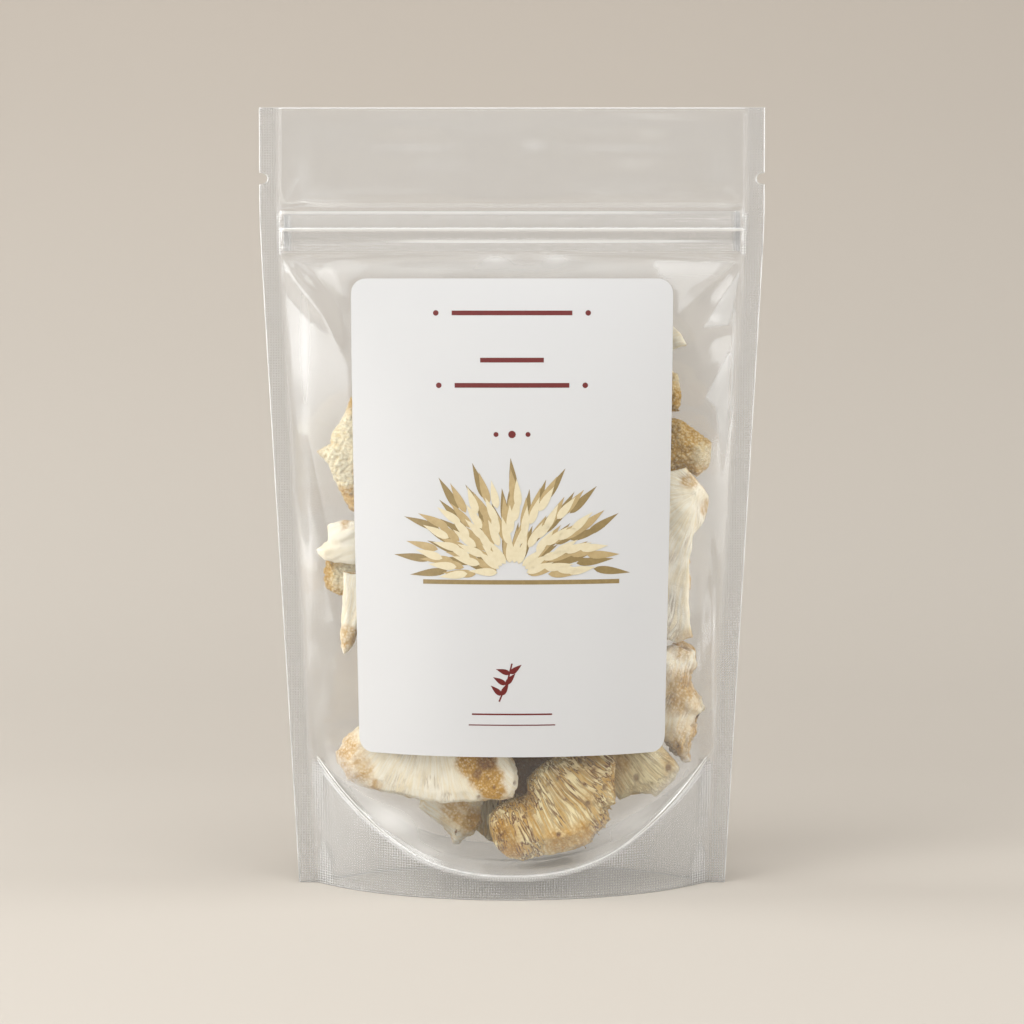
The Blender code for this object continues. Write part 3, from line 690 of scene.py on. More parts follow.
# Where the lines of each film's mesh lie: across, in shares of the half width inside the seal with
# the seal from 1 to 2, and up in millimetres, closest over the zip and the tear notches
FRONT_LINES = (
    both_ways(steps((0, 0.7, 0.02), (0.7, 1.0, 0.0095), (1.0, 1.9, 0.18), (1.9, 2.0, 0.1))),
    steps((0, 7, 1.2), (7, 42, 0.65), (42, 145, 1.7), (145, 199.4, 0.8), (199.4, 216, 0.26),
          (216, 222, 0.6), (222, 227, 0.25), (227, 245.8, 1.2), (245.8, HEIGHT, 0.3)),
)
BACK_LINES = (
    both_ways(steps((0, 0.8, 0.03), (0.8, 1.0, 0.018), (1.0, 1.9, 0.3), (1.9, 2.0, 0.1))),
    steps((0, 199, 1.9), (199, 217, 0.5), (217, 222, 1.6), (222, 227, 0.4), (227, HEIGHT, 1.9)),
)


def painted_zip_highlight(x, z):
    """How white the zip's painted highlight lines show. The second line fades towards the left."""
    heights, shares = np.array(ZIP_PAINTED_HIGHLIGHT).T
    gleam = np.interp(z, heights, shares)
    fading = 0.8 * smooth(np.abs(z - FADING_LINE), 0.7, 0.3) * smooth(np.abs(x - 12), 35, 62)
    top_fades = 0.7 * smooth(np.abs(z - TOP_LINE), 1.0, 0.6) * smooth(x, 30, 64)
    return gleam * (1 - fading) * (1 - top_fades) * smooth(inner_half(z) - np.abs(x), 0, 1)


def in_polygon(x, z, corners):
    """Distance in from the edges of a polygon: positive inside it."""
    corners = np.array(corners, float)
    away = np.full(len(x), 1e9)
    inside = np.zeros(len(x), bool)
    for start, end in zip(corners, np.roll(corners, -1, axis=0)):
        span = end - start
        share = np.clip(((x - start[0]) * span[0] + (z - start[1]) * span[1]) / (span @ span), 0, 1)
        away = np.minimum(away, np.hypot(x - start[0] - share * span[0], z - start[1] - share * span[1]))
        crossed = (start[1] > z) != (end[1] > z)
        slope = span[0] / span[1] if span[1] else 0.0
        inside ^= crossed & (x < start[0] + (z - start[1]) * slope)
    return np.where(inside, away, -away)


def clouds(x, z):
    """How white the front film's painted highlights are: its facets and soft clouds of light."""
    white = np.zeros(len(x))
    for corners, share, (low, high) in PAINTED_FACETS:
        facet = smooth(in_polygon(x, z, corners), -0.35, 0.5) * smooth(z, low, high)
        white = np.maximum(white, share * facet)
    for across, up, half_across, half_up, share in PAINTED_CLOUDS:
        white += share * np.exp(-((x - across) / half_across) ** 2 - ((z - up) / half_up) ** 2)
    return white * smooth(inner_half(z) - np.abs(x), 0, 0.6)


def far(points):
    """Each point is far from an edge or line."""
    return np.full(len(points), FAR)


def build_film(name, side, material, lining, columns, rows):
    """A creased wall of the pouch with its half of the side seals and its tear notches."""

    def place(share, z):
        outer = SEAL_WIDTH * np.clip(np.abs(share) - 1, 0, 1)
        cut = notch_depth(z) * smooth(np.abs(share), 1.35, 2.0)
        x = np.sign(share) * (inner_half(z) * np.minimum(np.abs(share), 1) + outer - cut)
        y = wall(x, z) + film_relief(x, z, side)
        return np.stack([-side * x, side * y, z], axis=-1)

    bm = woven(columns, rows, place)
    thicken(bm, FILM)

    def inset(points):
        """How far in from the cut edge."""
        return half_width(points[:, 2]) - np.abs(points[:, 0]) - notch_depth(points[:, 2])

    def rise(points):
        """How far above the curved seal."""
        return points[:, 2] - arc_height(points[:, 0])

    def whitening_and_painted_light(points):
        """How white the film is: where it is crushed or welded, and where highlights and a glow are
        painted.
        """
        x, z = points[:, 0], points[:, 2]
        beside = inner_half(z) - np.abs(x)
        # The zip's crushed ends, the ribbed pockets and the spike under each; the pockets and spikes are
        # partly bonded film and partly a painted highlight on the film's bend beside the seal
        crushed = smooth(beside + 0.8 * grain(points, 1.3, 3), 1.1, 0.1) * smooth(beside, -0.6, 0.0)
        crushed *= smooth(z, ZIP_LOW - 1.4, ZIP_LOW - 0.8) * smooth(z, ZIP_HIGH - 0.4, ZIP_HIGH - 1.2)
        pocket = smooth(beside, -0.2, 0.8) * smooth(beside, POCKET_WIDTH, POCKET_WIDTH - 0.8)
        pocket *= 0.35 + 0.65 * smooth(z, POCKET_LOW + 2, POCKET_HIGH - 4)
        pocket *= smooth(z, POCKET_LOW, POCKET_LOW + 3) * smooth(z, POCKET_HIGH, POCKET_HIGH - 2)
        spike_half = 2.4 * smooth(z, POCKET_LOW, 7)
        spike = smooth(np.abs(beside - 2.8), spike_half + 0.3, spike_half - 0.5)
        spike *= smooth(z, POCKET_LOW, POCKET_LOW - 2)
        white = 0.3 * pocket + 0.2 * spike
        if side < 0:
            # Painted glow: light is painted into the front film along the upper side of the curved seal
            painted_glow = (0.1 + 0.22 * smooth(np.abs(x), 20, 34)) * smooth(np.abs(x), 61, 56)
            painted_glow *= smooth(rise(points), 0.6, 4) * smooth(rise(points), 14, 6)
            white = np.maximum(white, 0.5 * crushed) + painted_zip_highlight(x, z) + clouds(x, z) + painted_glow
        return np.clip(white, 0, 1)

    def seal(points):
        """How plainly the knurl of a heat seal shows, stronger in the skirt's middle and along its foot
        as painted shadow.
        """
        x, z = points[:, 0], points[:, 2]
        bands = sum(smooth(z, low, low + 0.4) * smooth(z, high, high - 0.4) for low, high in ZIP_BANDS)
        # Painted shadow: the knurl shows stronger and darker in the skirt's middle and along its foot,
        # where the pouch's shade falls
        painted_shadow_share = np.maximum(smooth(np.abs(x), 50, 40), smooth(z, 4.8, 3.8))
        welded = np.maximum((0.42 + 0.45 * painted_shadow_share) * smooth(rise(points), 0.2, -0.2), 0.45 * bands)
        sides = smooth(inner_half(z) - np.abs(x), 0.2, -0.2) * smooth(inset(points), 0.1, 0.7)
        return np.maximum(sides, welded)

    def first(points):
        """How far above the lower line of the curved seal."""
        if side > 0:
            return far(points)
        over = rise(points) - 0.3
        return over + FAR * np.sign(over) * smooth(np.abs(points[:, 0]), 62, 63)

    def second(points):
        """How far above its upper line."""
        return first(points) - arc_parting(points[:, 0])

    node = f"{name.split('_')[1]}_film"
    made = finish(bm, name, material, "clear_film", node, lining=lining, attributes={
        "inset": inset, "seal": seal, "whitening_and_painted_light": whitening_and_painted_light, "first": first, "second": second})
    add_millimetres(made.data)
    return made


def build_gusset(material, lining):
    """The floor with its fold line, and the flanges that run down inside the skirt."""

    def place(share, row):
        x = share * GUSSET_HALF
        z = arc_height(x) * np.minimum(1, 2 - np.abs(row))
        y = (wall(x, z) - FILM - GUSSET_GAP) * np.clip(row, -1, 1)
        points = np.stack([x, y, np.zeros_like(x)], axis=-1)
        on_floor = smooth(np.abs(row), 1.0, 0.8)
        z = z - on_floor * (0.5 * np.exp(-np.abs(y) / 1.5) + 0.15 + 0.12 * grain(points, 9.0, 5))
        return np.stack([x, y, z], axis=-1)

    columns = both_ways(steps((0, 1, 1.1 / GUSSET_HALF)))
    rows = both_ways(steps((0, 1, 1 / 28), (1, 2, 1 / 12)))
    bm = woven(columns, rows, place)
    thicken(bm, FILM)
    node = "bottom_gusset"
    made = finish(bm, "pouch_gusset", material, "clear_film", node, lining=lining, attributes={
        "inset": far, "first": far, "second": far,
        "seal": lambda points: np.zeros(len(points)),
        "whitening_and_painted_light": lambda points: 0.75 * smooth(arc_height(points[:, 0]) - points[:, 2], 1.6, 1.0)})
    add_millimetres(made.data)
    return made


# Zip

def rib_profile():
    """Outline of the strip with the ribs, as (towards the back, up)."""
    points = [(-STRIP_FACE, ZIP_LOW), (-STRIP_BACK, ZIP_LOW)]
    for centre in ZIP_RIBS:
        points += [
            (-STRIP_BACK, centre - RIB_NECK), (RIB_SHOULDER, centre - RIB_NECK),
            (RIB_SHOULDER, centre - RIB_HEAD), (RIB_TIP, centre - RIB_NECK / 2),
            (RIB_TIP, centre + RIB_NECK / 2), (RIB_SHOULDER, centre + RIB_HEAD),
            (RIB_SHOULDER, centre + RIB_NECK), (-STRIP_BACK, centre + RIB_NECK),
        ]
    return points + [(-STRIP_BACK, ZIP_HIGH), (-STRIP_FACE, ZIP_HIGH)]


def lip_profile():
    """Outline of the strip with the lips, as (towards the back, up)."""
    points = [(STRIP_FACE, ZIP_HIGH), (STRIP_BACK, ZIP_HIGH)]
    pitch = ZIP_RIBS[1] - ZIP_RIBS[0]
    middle = (ZIP_RIBS[0] + ZIP_RIBS[1]) / 2
    for centre in (middle + pitch, middle, middle - pitch):
        points += [
            (STRIP_BACK, centre + LIP_HALF), (-RIB_TIP, centre + LIP_HALF),
            (-RIB_TIP, centre - LIP_HALF), (STRIP_BACK, centre - LIP_HALF),
        ]
    return points + [(STRIP_BACK, ZIP_LOW), (STRIP_FACE, ZIP_LOW)]


def build_strip(name, node, profile, material):
    """A zip strip: its profile drawn out, its edges eased and its ends crushed where the side seals are
    welded.
    """
    bm = bmesh.new()
    start = [bm.verts.new((-ZIP_HALF_LENGTH, back, up)) for back, up in profile]
    face = bm.faces.new(start)
    grown = bmesh.ops.extrude_face_region(bm, geom=[face])["geom"]
    moved = [item for item in grown if isinstance(item, bmesh.types.BMVert)]
    bmesh.ops.translate(bm, vec=Vector((2 * ZIP_HALF_LENGTH, 0, 0)), verts=moved)
    long_edges = [edge for edge in bm.edges if edge.calc_length() > ZIP_HALF_LENGTH]
    bmesh.ops.bevel(bm, geom=long_edges, offset=0.12, segments=2, profile=0.5,
                    affect="EDGES", material=-1, clamp_overlap=True)
    for cut in both_ways(steps((2, 60, 8), (60, CRUSH_START, 2), (CRUSH_START, CRUSH_END, 0.5))):
        everything = bm.verts[:] + bm.edges[:] + bm.faces[:]
        bmesh.ops.bisect_plane(bm, geom=everything, plane_co=Vector((cut, 0, 0)),
                               plane_no=Vector((1, 0, 0)))
    bmesh.ops.recalc_face_normals(bm, faces=bm.faces)
    for vert in bm.verts:
        crushed = float(smooth(abs(vert.co.x), CRUSH_START, CRUSH_END))
        vert.co.y *= 1 - 0.55 * crushed
        vert.co.z += 0.25 * crushed * float(np.sin(vert.co.x * 4.0))
    return finish(bm, name, material, "zip_profile", node, attributes={
        "whitening_and_painted_light": lambda points: smooth(np.abs(points[:, 0]), CRUSH_START + 1.5, CRUSH_END - 0.5)})


# Label

def on_label(u, v, lift):
    """The point of the pouch at u across and v up from the label's middle, lifted off it."""
    share = (v / LABEL_HALF_LENGTH + 1) / 2
    z = LABEL_LOW + share * (LABEL_HIGH - LABEL_LOW)
    x = along_wall(u, z)
    return np.stack([x, -wall(x, z) - LABEL_GAP - LABEL_THICK - lift, z], axis=-1)


def build_label(material):
    """A paper sheet with round corners on the front wall, in cells of about 1.5 mm."""
    bm = bmesh.new()
    bmesh.ops.create_grid(bm, x_segments=68, y_segments=96, size=1.0)
    bmesh.ops.scale(bm, vec=Vector((LABEL_HALF_WIDTH, LABEL_HALF_LENGTH, 1)), verts=bm.verts)
    for vert in bm.verts:
        # Points near a corner move onto its round
        over_x = abs(vert.co.x) - (LABEL_HALF_WIDTH - LABEL_CORNER)
        over_y = abs(vert.co.y) - (LABEL_HALF_LENGTH - LABEL_CORNER)
        if over_x > 0 and over_y > 0:
            square = max(over_x, over_y)
            shrink = square / np.hypot(over_x, over_y)
            vert.co.x -= np.sign(vert.co.x) * over_x * (1 - shrink)
            vert.co.y -= np.sign(vert.co.y) * over_y * (1 - shrink)
    points = np.array([vert.co for vert in bm.verts])
    move_to(bm, on_label(points[:, 0], points[:, 1], 0.0))
    thicken(bm, LABEL_THICK)
    return finish(bm, "label_sheet", material, "label_paper", "label", crisp=True)


def print_shapes(name, shapes, material, lift):
    """Ink on the label: flat bmeshes in label millimetres, laid on its curve as thin solids."""
    whole = bmesh.new()
    for shape in shapes:
        carrier = bpy.data.meshes.new("ink")
        shape.to_mesh(carrier)
        shape.free()
        whole.from_mesh(carrier)
        bpy.data.meshes.remove(carrier)
    points = np.array([vert.co for vert in whole.verts])
    move_to(whole, on_label(points[:, 0], points[:, 1], lift))
    thicken(whole, INK_THICK)
    return finish(whole, name, material, "label_paper", crisp=True)


def rule(u, v, length, height, cells=24):
    """A printed bar with its middle at (u, v)."""
    bm = bmesh.new()
    bmesh.ops.create_grid(bm, x_segments=cells, y_segments=1, size=0.5)
    bmesh.ops.scale(bm, vec=Vector((length, height, 1)), verts=bm.verts)
    bmesh.ops.translate(bm, vec=Vector((u, v, 0)), verts=bm.verts)
    return bm


def petal(u, v, length, width, turn, point=1.6):
    """A leaf shape that starts at (u, v) and points along turn, in degrees."""
    bm = bmesh.new()
    bmesh.ops.create_grid(bm, x_segments=10, y_segments=2, size=0.5)
    for vert in bm.verts:
        share = vert.co.x + 0.5
        body = max(0.02, np.sin(np.pi * share ** (1 / point))) if 0 < share < 1 else 0.02
        vert.co = Vector((share * length, vert.co.y * width * body, 0))
    bmesh.ops.rotate(bm, cent=Vector((0, 0, 0)), verts=bm.verts,
                     matrix=Matrix.Rotation(radians(turn), 3, "Z"))
    bmesh.ops.translate(bm, vec=Vector((u, v, 0)), verts=bm.verts)
    return bm


def dot(u, v, radius, sides=12):
    """A round printed spot."""
    bm = bmesh.new()
    bmesh.ops.create_circle(bm, cap_ends=True, segments=sides, radius=radius)
    bmesh.ops.translate(bm, vec=Vector((u, v, 0)), verts=bm.verts)
    return bm


def stem(points, width):
    """A curved line of even width through points."""
    path = np.array(points, float)
    bm = bmesh.new()
    cells = 3 * (len(path) - 1)
    bmesh.ops.create_grid(bm, x_segments=cells, y_segments=1, size=0.5)
    ticks = np.linspace(0, 1, len(path))
    for vert in bm.verts:
        share, off = vert.co.x + 0.5, vert.co.y * width
        here = np.array([np.interp(share, ticks, path[:, axis]) for axis in range(2)])
        ahead = np.array([np.interp(min(1, share + 0.02), ticks, path[:, axis]) for axis in range(2)])
        behind = np.array([np.interp(max(0, share - 0.02), ticks, path[:, axis]) for axis in range(2)])
        way = (ahead - behind) / np.hypot(*(ahead - behind))
        vert.co = Vector((here[0] - way[1] * off, here[1] + way[0] * off, 0))
    return bm


def rules_and_twig():
    """The label's plain print: rules with dots beside them, and a twig over two thin rules."""
    shapes = [rule(0, v, length, 1.5, cells) for v, length, cells in (
        (64.5, 38, 24), (49.5, 20, 12), (41.5, 36, 24))]
    shapes += [dot(side * u, v, 0.9) for u, v in ((24, 64.5), (23, 41.5)) for side in (-1, 1)]
    shapes += [dot(u, 26, radius) for u, radius in ((-5, 0.8), (0, 1.2), (5, 0.8))]
    shapes.append(stem([(-4, -58), (-1.5, -52), (0, -46)], 0.5))
    for side, up in product((-1, 1), (0, 1, 2)):
        turn = 100 - 38 * side - 12 * up * side
        shapes.append(petal(-3.2 + 1.3 * up, -56 + 3.4 * up, 4.6, 1.7, turn))
    shapes += [rule(0, v, length, height, 16) for v, length, height in (
        (-62, 25, 0.5), (-65.4, 27, 0.35))]
    return shapes


# The spray of leaves: its root up the label, and its reach
SPRAY_ROOT, SPRAY_REACH = -19, 27

# For each layer from dark to pale: how many leaves, how long, and its share of the reach. Within
# that share the leaves start at each ring in turn
SPRAY_LAYERS = ((42, 12.0, 1.0), (46, 10.5, 0.93), (52, 9.0, 0.86))
SPRAY_RINGS = (0.95, 0.45, 0.75, 0.2, 0.6)


def leaf_spray():
    """A full, low spray of leaves around one root, with a rule under it."""
    layers = []
    for layer, (count, length, reach) in enumerate(SPRAY_LAYERS):
        leaves = []
        for at in range(count):
            turn = 180 * (at + 0.5) / count
            ring = SPRAY_RINGS[(at * 2 + layer) % 5] * reach
            u = SPRAY_REACH * ring * np.cos(np.radians(turn))
            v = SPRAY_ROOT + SPRAY_REACH * ring * np.sin(np.radians(turn)) ** 0.7
            leaves.append(petal(u, v, length, 2.5, turn + 9 * ((at + layer) % 3 - 1)))
        layers.append(leaves)
    layers[0].append(rule(3, SPRAY_ROOT - 1.5, 62, 1.4))
    return layers


# Dried pieces

class Hide:
    """The skin of a dried piece as arrays, in millimetres, so that noise can work it."""

    def __init__(self, mesh):
        self.mesh = mesh
        self.points = points_of(mesh)
        ends = np.empty(len(mesh.edges) * 2, dtype=np.int32)
        mesh.edges.foreach_get("vertices", ends)
        self.ends = ends.reshape(-1, 2)
        self.links = np.bincount(self.ends.ravel(), minlength=len(self.points))
        self.refresh()

    def refresh(self):
        """Put the points back into the mesh and read its normals again."""
        self.mesh.vertices.foreach_set("co", (self.points * MM).ravel())
        self.mesh.update()
        self.normals = np.empty(len(self.points) * 3)
        self.mesh.vertex_normals.foreach_get("vector", self.normals)
        self.normals = self.normals.reshape(-1, 3)

    def evened(self, values, rounds):
        """Values after each has moved towards the mean of its neighbours, some rounds over."""
        values = values.astype(float)
        first, second = self.ends[:, 0], self.ends[:, 1]
        columns = values.reshape(len(values), -1)
        for _ in range(rounds):
            total = np.stack([
                np.bincount(first, columns[second, axis], len(columns))
                + np.bincount(second, columns[first, axis], len(columns))
                for axis in range(columns.shape[1])], axis=-1)
            columns = 0.5 * columns + 0.5 * total / self.links[:, None]
        return columns.reshape(values.shape)

    def relax(self, rounds):
        """Even out the points."""
        self.points = self.evened(self.points, rounds)
        self.refresh()

    def push(self, amount):
        """Move each point along its normal."""
        self.points = self.points + self.normals * np.asarray(amount)[:, None]
        self.refresh()

    def hollow(self, rounds=12):
        """How far each point lies below its surroundings, in millimetres."""
        even = self.evened(self.points, rounds)
        return ((even - self.points) * self.normals).sum(axis=1)

    def keep_inside(self):
        """Hold the piece clear of the film and of the gusset's floor."""
        x, y, z = self.points.T
        most = wall(x, z) - FILM - WALL_ROOM
        floor = arc_height(x) + FLOOR_ROOM
        self.points = np.stack([x, np.clip(y, -most, most), np.maximum(z, floor)], axis=-1)
        self.refresh()


def remesh(mesh, voxel):
    """A mesh with even faces of about one voxel, in metres."""
    carrier = bpy.data.objects.new("carrier", mesh)
    bpy.context.scene.collection.objects.link(carrier)
    even = carrier.modifiers.new("Even skin", "REMESH")
    even.mode = "VOXEL"
    even.voxel_size = voxel * MM
    graph = bpy.context.evaluated_depsgraph_get()
    made = bpy.data.meshes.new_from_object(carrier.evaluated_get(graph))
    bpy.data.objects.remove(carrier)
    return made


def skin_of(node, voxel):
    """The even skin of a CAD node."""
    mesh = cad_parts[node].data.copy()
    bm = bmesh.new()
    bm.from_mesh(mesh)
    bmesh.ops.remove_doubles(bm, verts=bm.verts, dist=1e-6)
    bm.to_mesh(mesh)
    bm.free()
    return Hide(remesh(mesh, voxel))


def near(points, spots):
    """0 to 1 by closeness to spots with ragged edges, each (across, up, radius) from the front."""
    value = np.zeros(len(points))
    swayed = [
        points[:, axis] + 1.1 * grain(points, 3.2, 5 + axis) + 0.4 * grain(points, 1.1, 9 + axis)
        for axis in (0, 2)]
    for across, up, radius in spots:
        away = np.hypot(swayed[0] - across, swayed[1] - up) / radius
        value = np.maximum(value, smooth(away, 1.3, 0.55))
    return value


def pricks(points, spots):
    """0 to 1 by closeness to small round pits, each (across, up, radius) from the front."""
    value = np.zeros(len(points))
    for across, up, radius in spots:
        away = np.hypot(points[:, 0] - across, (points[:, 2] - up) * 0.8) / radius
        value = np.maximum(value, smooth(away, 1.2, 0.5))
    return value


def along_strands(points, pitch, length, seed, way=(1, 0), fan=None, sway=0.8):
    """Coordinates that run along a direction of the front view, or along rays from a point.

    fan is (across, up, reach): the rays' origin, and how far from it they are a pitch apart.
    """
    bend = sway * grain(points, 7.0, seed + 7)
    x, y, z = points.T
    if fan:
        along = np.hypot(x - fan[0], z - fan[1])
        across = np.arctan2(z - fan[1], x - fan[0]) * fan[2] + bend
    else:
        turn = np.array(way, float) / np.hypot(*way)
        along = x * turn[0] + z * turn[1]
        across = z * turn[0] - x * turn[1] + bend
    return np.stack([across / pitch, along / length, y / (2 * pitch)], axis=-1)


def publish(hide, node, material, slot, **shares):
    """Finish a dried piece: close, smooth-shaded, with its colour shares and its fibres."""
    hide.keep_inside()
    mesh = hide.mesh
    name = f"dried_{node}"
    mesh.name = name
    mesh.materials.clear()
    mesh.materials.append(material)
    mesh.polygons.foreach_set("use_smooth", [True] * len(mesh.polygons))
    fibre = shares.pop("fibre")
    spread(mesh, {"fibre": fibre, **{key: np.clip(value, 0, 1) for key, value in shares.items()}})
    made = bpy.data.objects.new(name, mesh)
    bpy.context.scene.collection.objects.link(made)
    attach(made, "root")
    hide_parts(node)
    return made


def flesh_piece(node, seed, voxel, material, way=(1, 0.2), fan=None, golden=(), scorched=(),
                pits=(), tinged=(), grit=0.25, rough=1.0, lines=0.3, toast=0.8, swell=0.0, veins=0.2):
    """A slice of pale flesh: crumpled, fibrous, with gritty toasted edges.

    grit is how far the edge's grains stand up and rough scales the crumpling. lines, veins and
    toast say how strongly the fibres, their gaps and the edges colour.
    """
    hide = skin_of(node, voxel)
    hide.relax(3)
    p = hide.points
    crumple = 0.5 * grain(p, 7.0, seed) + 0.26 * grain(p, 3.0, seed + 1) - 0.3
    hide.push(rough * crumple + 0.09 * grain(p, 1.3, seed + 2) + 0.05 * grain(p, 0.7, seed + 9) + swell)
    side_on = np.clip(1 - np.abs(hide.evened(hide.normals, 5)[:, 1]), 0, 1)
    rim = smooth(side_on + 0.15 * grain(p, 2.2, seed + 4), 0.45, 0.9)
    strands = along_strands(hide.points, 1.6 * FIBRE_PITCH, 9.0, seed + 3, way, fan)
    thread = grain(strands, 1.0, seed + 3)
    ragged = 0.4 + 0.9 * grain(p, 2.8, seed + 5) + 0.6 * grain(p, 1.2, seed + 10)
    hide.push(0.12 * thread * (1 - rim) - 0.7 * rough * rim * ragged)
    front = smooth(-hide.normals[:, 1], 0.0, 0.5)
    pit = pricks(hide.points, pits)
    patch = near(hide.points, golden) * front
    grains = 0.42 - pebbles(hide.points, 1.05, seed)
    hide.push(grit * np.maximum(rim, 1.2 * patch) * grains - 0.5 * pit * front)
    toasted = toast * rim * smooth(grain(hide.points, 4.0, seed + 6), -0.5, 0.5)
    toasted = np.maximum(toasted, 0.95 * patch)
    broken = smooth(0.4 * grain(hide.points, 1.4, seed + 11) + thread, -0.6, 0.6)
    toasted = np.maximum(toasted, near(hide.points, tinged) * (0.3 + 0.4 * broken))
    deep = smooth(hide.hollow(6), 0.03, 0.22) * (0.35 + 0.3 * np.maximum(patch, rim))
    deep = np.maximum(deep, 0.6 * pit * front)
    deep = np.maximum(deep, 0.6 * near(hide.points, scorched) * front)
    vein = veins * smooth(grain(hide.points, 5.0, seed + 8), -0.2, 0.6)
    return publish(hide, node, material, "dried_flesh", golden=toasted, hollow=deep, gaps=vein,
                   streak=np.full(len(deep), lines),
                   fibre=along_strands(hide.points, FIBRE_PITCH, 12.0, seed, way, fan))


def crust_piece(node, seed, voxel, material, pale=(), pitch=1.1, rough=1.0, painted_shade=0.0, bleach=0.5):
    """A lump of toasted outside: grains packed like coarse sugar, its cut face paler.

    pitch is the grains' spacing and bleach how much its pale spots have faded. How dark the
    whole lump is at least is a painted shadow, for a lump that lies in shade.
    """
    hide = skin_of(node, voxel)
    hide.relax(2)
    p = hide.points
    hide.push(rough * (0.6 * grain(p, 6.0, seed + 1) + 0.4 * grain(p, 2.6, seed + 5)) - 0.3)
    grains = 0.45 - pebbles(hide.points, pitch, seed)
    hide.push(0.85 * grains)
    deep = smooth(hide.hollow(6), 0.02, 0.25)
    pale_here = near(p, pale) if pale else smooth(grain(p, 7.0, seed + 3), 0.0, 0.7)
    golden = 0.8 - bleach * pale_here - 0.3 * smooth(grains, 0.1, 0.4)
    return publish(hide, node, material, "golden_crust", golden=golden,
                   hollow=np.maximum(0.35 * deep, painted_shade), streak=0.5 * smooth(grains, 0.0, -0.3),
                   gaps=0.3 * pale_here, fibre=along_strands(hide.points, 0.6, 3.0, seed))


def teeth_piece(node, seed, voxel, material, way=(1, 0), fan=None, tips=(), pits=(), grainy=(),
                golden=(), rough=1.0, coarse=1.0, swell=0.0, parting=1.0):
    """A lump of dried spines that lie side by side, with free tips along its lower edge.

    coarse scales the spines' width, and parting how plainly they part from one another.
    """
    hide = skin_of(node, voxel)
    hide.relax(3)
    hide.push(np.full(len(hide.points), swell - 0.3))
    if tips:
        hide = with_spines(hide, tips, voxel)
    p = hide.points
    hide.push(rough * (0.35 * grain(p, 6.0, seed + 2) + 0.15 * grain(p, 2.5, seed + 3)))
    ridge = grain(along_strands(p, 1.1 * coarse, 9.0, seed, way, fan), 1.0, seed)
    gap = smooth(np.abs(ridge), 0.3, 0.04)
    grain_patch = near(p, grainy)
    grains = 0.42 - pebbles(p, 1.0, seed + 4)
    hide.push((1 - grain_patch) * (0.1 * ridge - 0.3 * gap) + 0.45 * grain_patch * grains)
    front = smooth(-hide.normals[:, 1], 0.0, 0.5)
    pit = pricks(p, pits)
    hide.push(-0.6 * pit * front)
    deep = smooth(hide.hollow(5), 0.02, 0.2)
    toasted = 0.45 * smooth(grain(p, 5.0, seed + 5), -0.2, 0.6)
    toasted = np.maximum(toasted, 0.8 * np.maximum(near(p, golden), 0.7 * grain_patch))
    dark = np.maximum((0.4 + 0.3 * grain_patch) * deep, 0.65 * pit * front)
    breaks = grain(along_strands(p, 2.0, 5.0, seed + 6, way, fan), 1.0, seed + 6)
    broken = smooth(breaks, -0.5, 0.3)
    return publish(hide, node, material, "dried_teeth", golden=toasted, hollow=dark,
                   streak=np.full(len(dark), 0.7 * parting),
                   gaps=parting * (1 - 0.8 * grain_patch) * (0.3 + 0.65 * broken),
                   fibre=along_strands(p, 0.75 * coarse, 9.0, seed, way, fan, sway=0.5))


def with_spines(hide, tips, voxel):
    """Free spines joined to a lump: each is (start, end, radius) in millimetres."""
    bm = bmesh.new()
    bm.from_mesh(hide.mesh)
    for start, end, radius in tips:
        base, tip = Vector(start) * MM, Vector(end) * MM
        turn = (tip - base).to_track_quat("Z", "Y").to_matrix().to_4x4()
        bmesh.ops.create_cone(
            bm, cap_ends=True, segments=8, radius1=radius * MM, radius2=0.2 * radius * MM,
            depth=(tip - base).length, matrix=Matrix.Translation((base + tip) / 2) @ turn)
    bm.to_mesh(hide.mesh)
    bm.free()
    joined = Hide(remesh(hide.mesh, voxel))
    joined.relax(1)
    return joined


# The hidden pieces that are lumps of spines or of crust. The others are flesh
HIDDEN_SPINES = (
    "slab_low_back_middle", "slab_front_left", "slab_back_right", "slab_upper_back_right",
    "slab_core_high")
HIDDEN_CRUST = (
    "slab_shadowed", "slab_back_left", "slab_middle_front_right", "slab_high_back_left",
    "slab_top_right")


# Settings

class FilmSettings(bpy.types.PropertyGroup):
    haze: bpy.props.StringProperty(
        name="Haze", description="sRGB hex colour of the front film's haze", default="#F4F4F2")
    back_haze: bpy.props.StringProperty(
        name="Back haze", description="sRGB hex colour of the back film's haze", default="#D2D3D4")
    clear: bpy.props.FloatProperty(
        name="Opacity", description="Share of light that one skin of the front film takes",
        default=0.05, min=0.0, max=1.0, subtype="FACTOR")
    back_clear: bpy.props.FloatProperty(
        name="Back opacity", description="Share of light that one skin of the back film takes",
        default=0.35, min=0.0, max=1.0, subtype="FACTOR")
    sealed: bpy.props.FloatProperty(
        name="Seal opacity", description="Share of light that one skin of a heat seal takes",
        default=0.3, min=0.0, max=1.0, subtype="FACTOR")


class LabelSettings(bpy.types.PropertyGroup):
    paper: bpy.props.StringProperty(
        name="Paper", description="sRGB hex colour of the paper", default="#CDCDCD")
    heading: bpy.props.StringProperty(
        name="Heading ink", description="sRGB hex colour of the rules", default="#701812")
    leaf: bpy.props.StringProperty(
        name="Leaf ink", description="sRGB hex colour of the palest leaves", default="#E2D8BC")


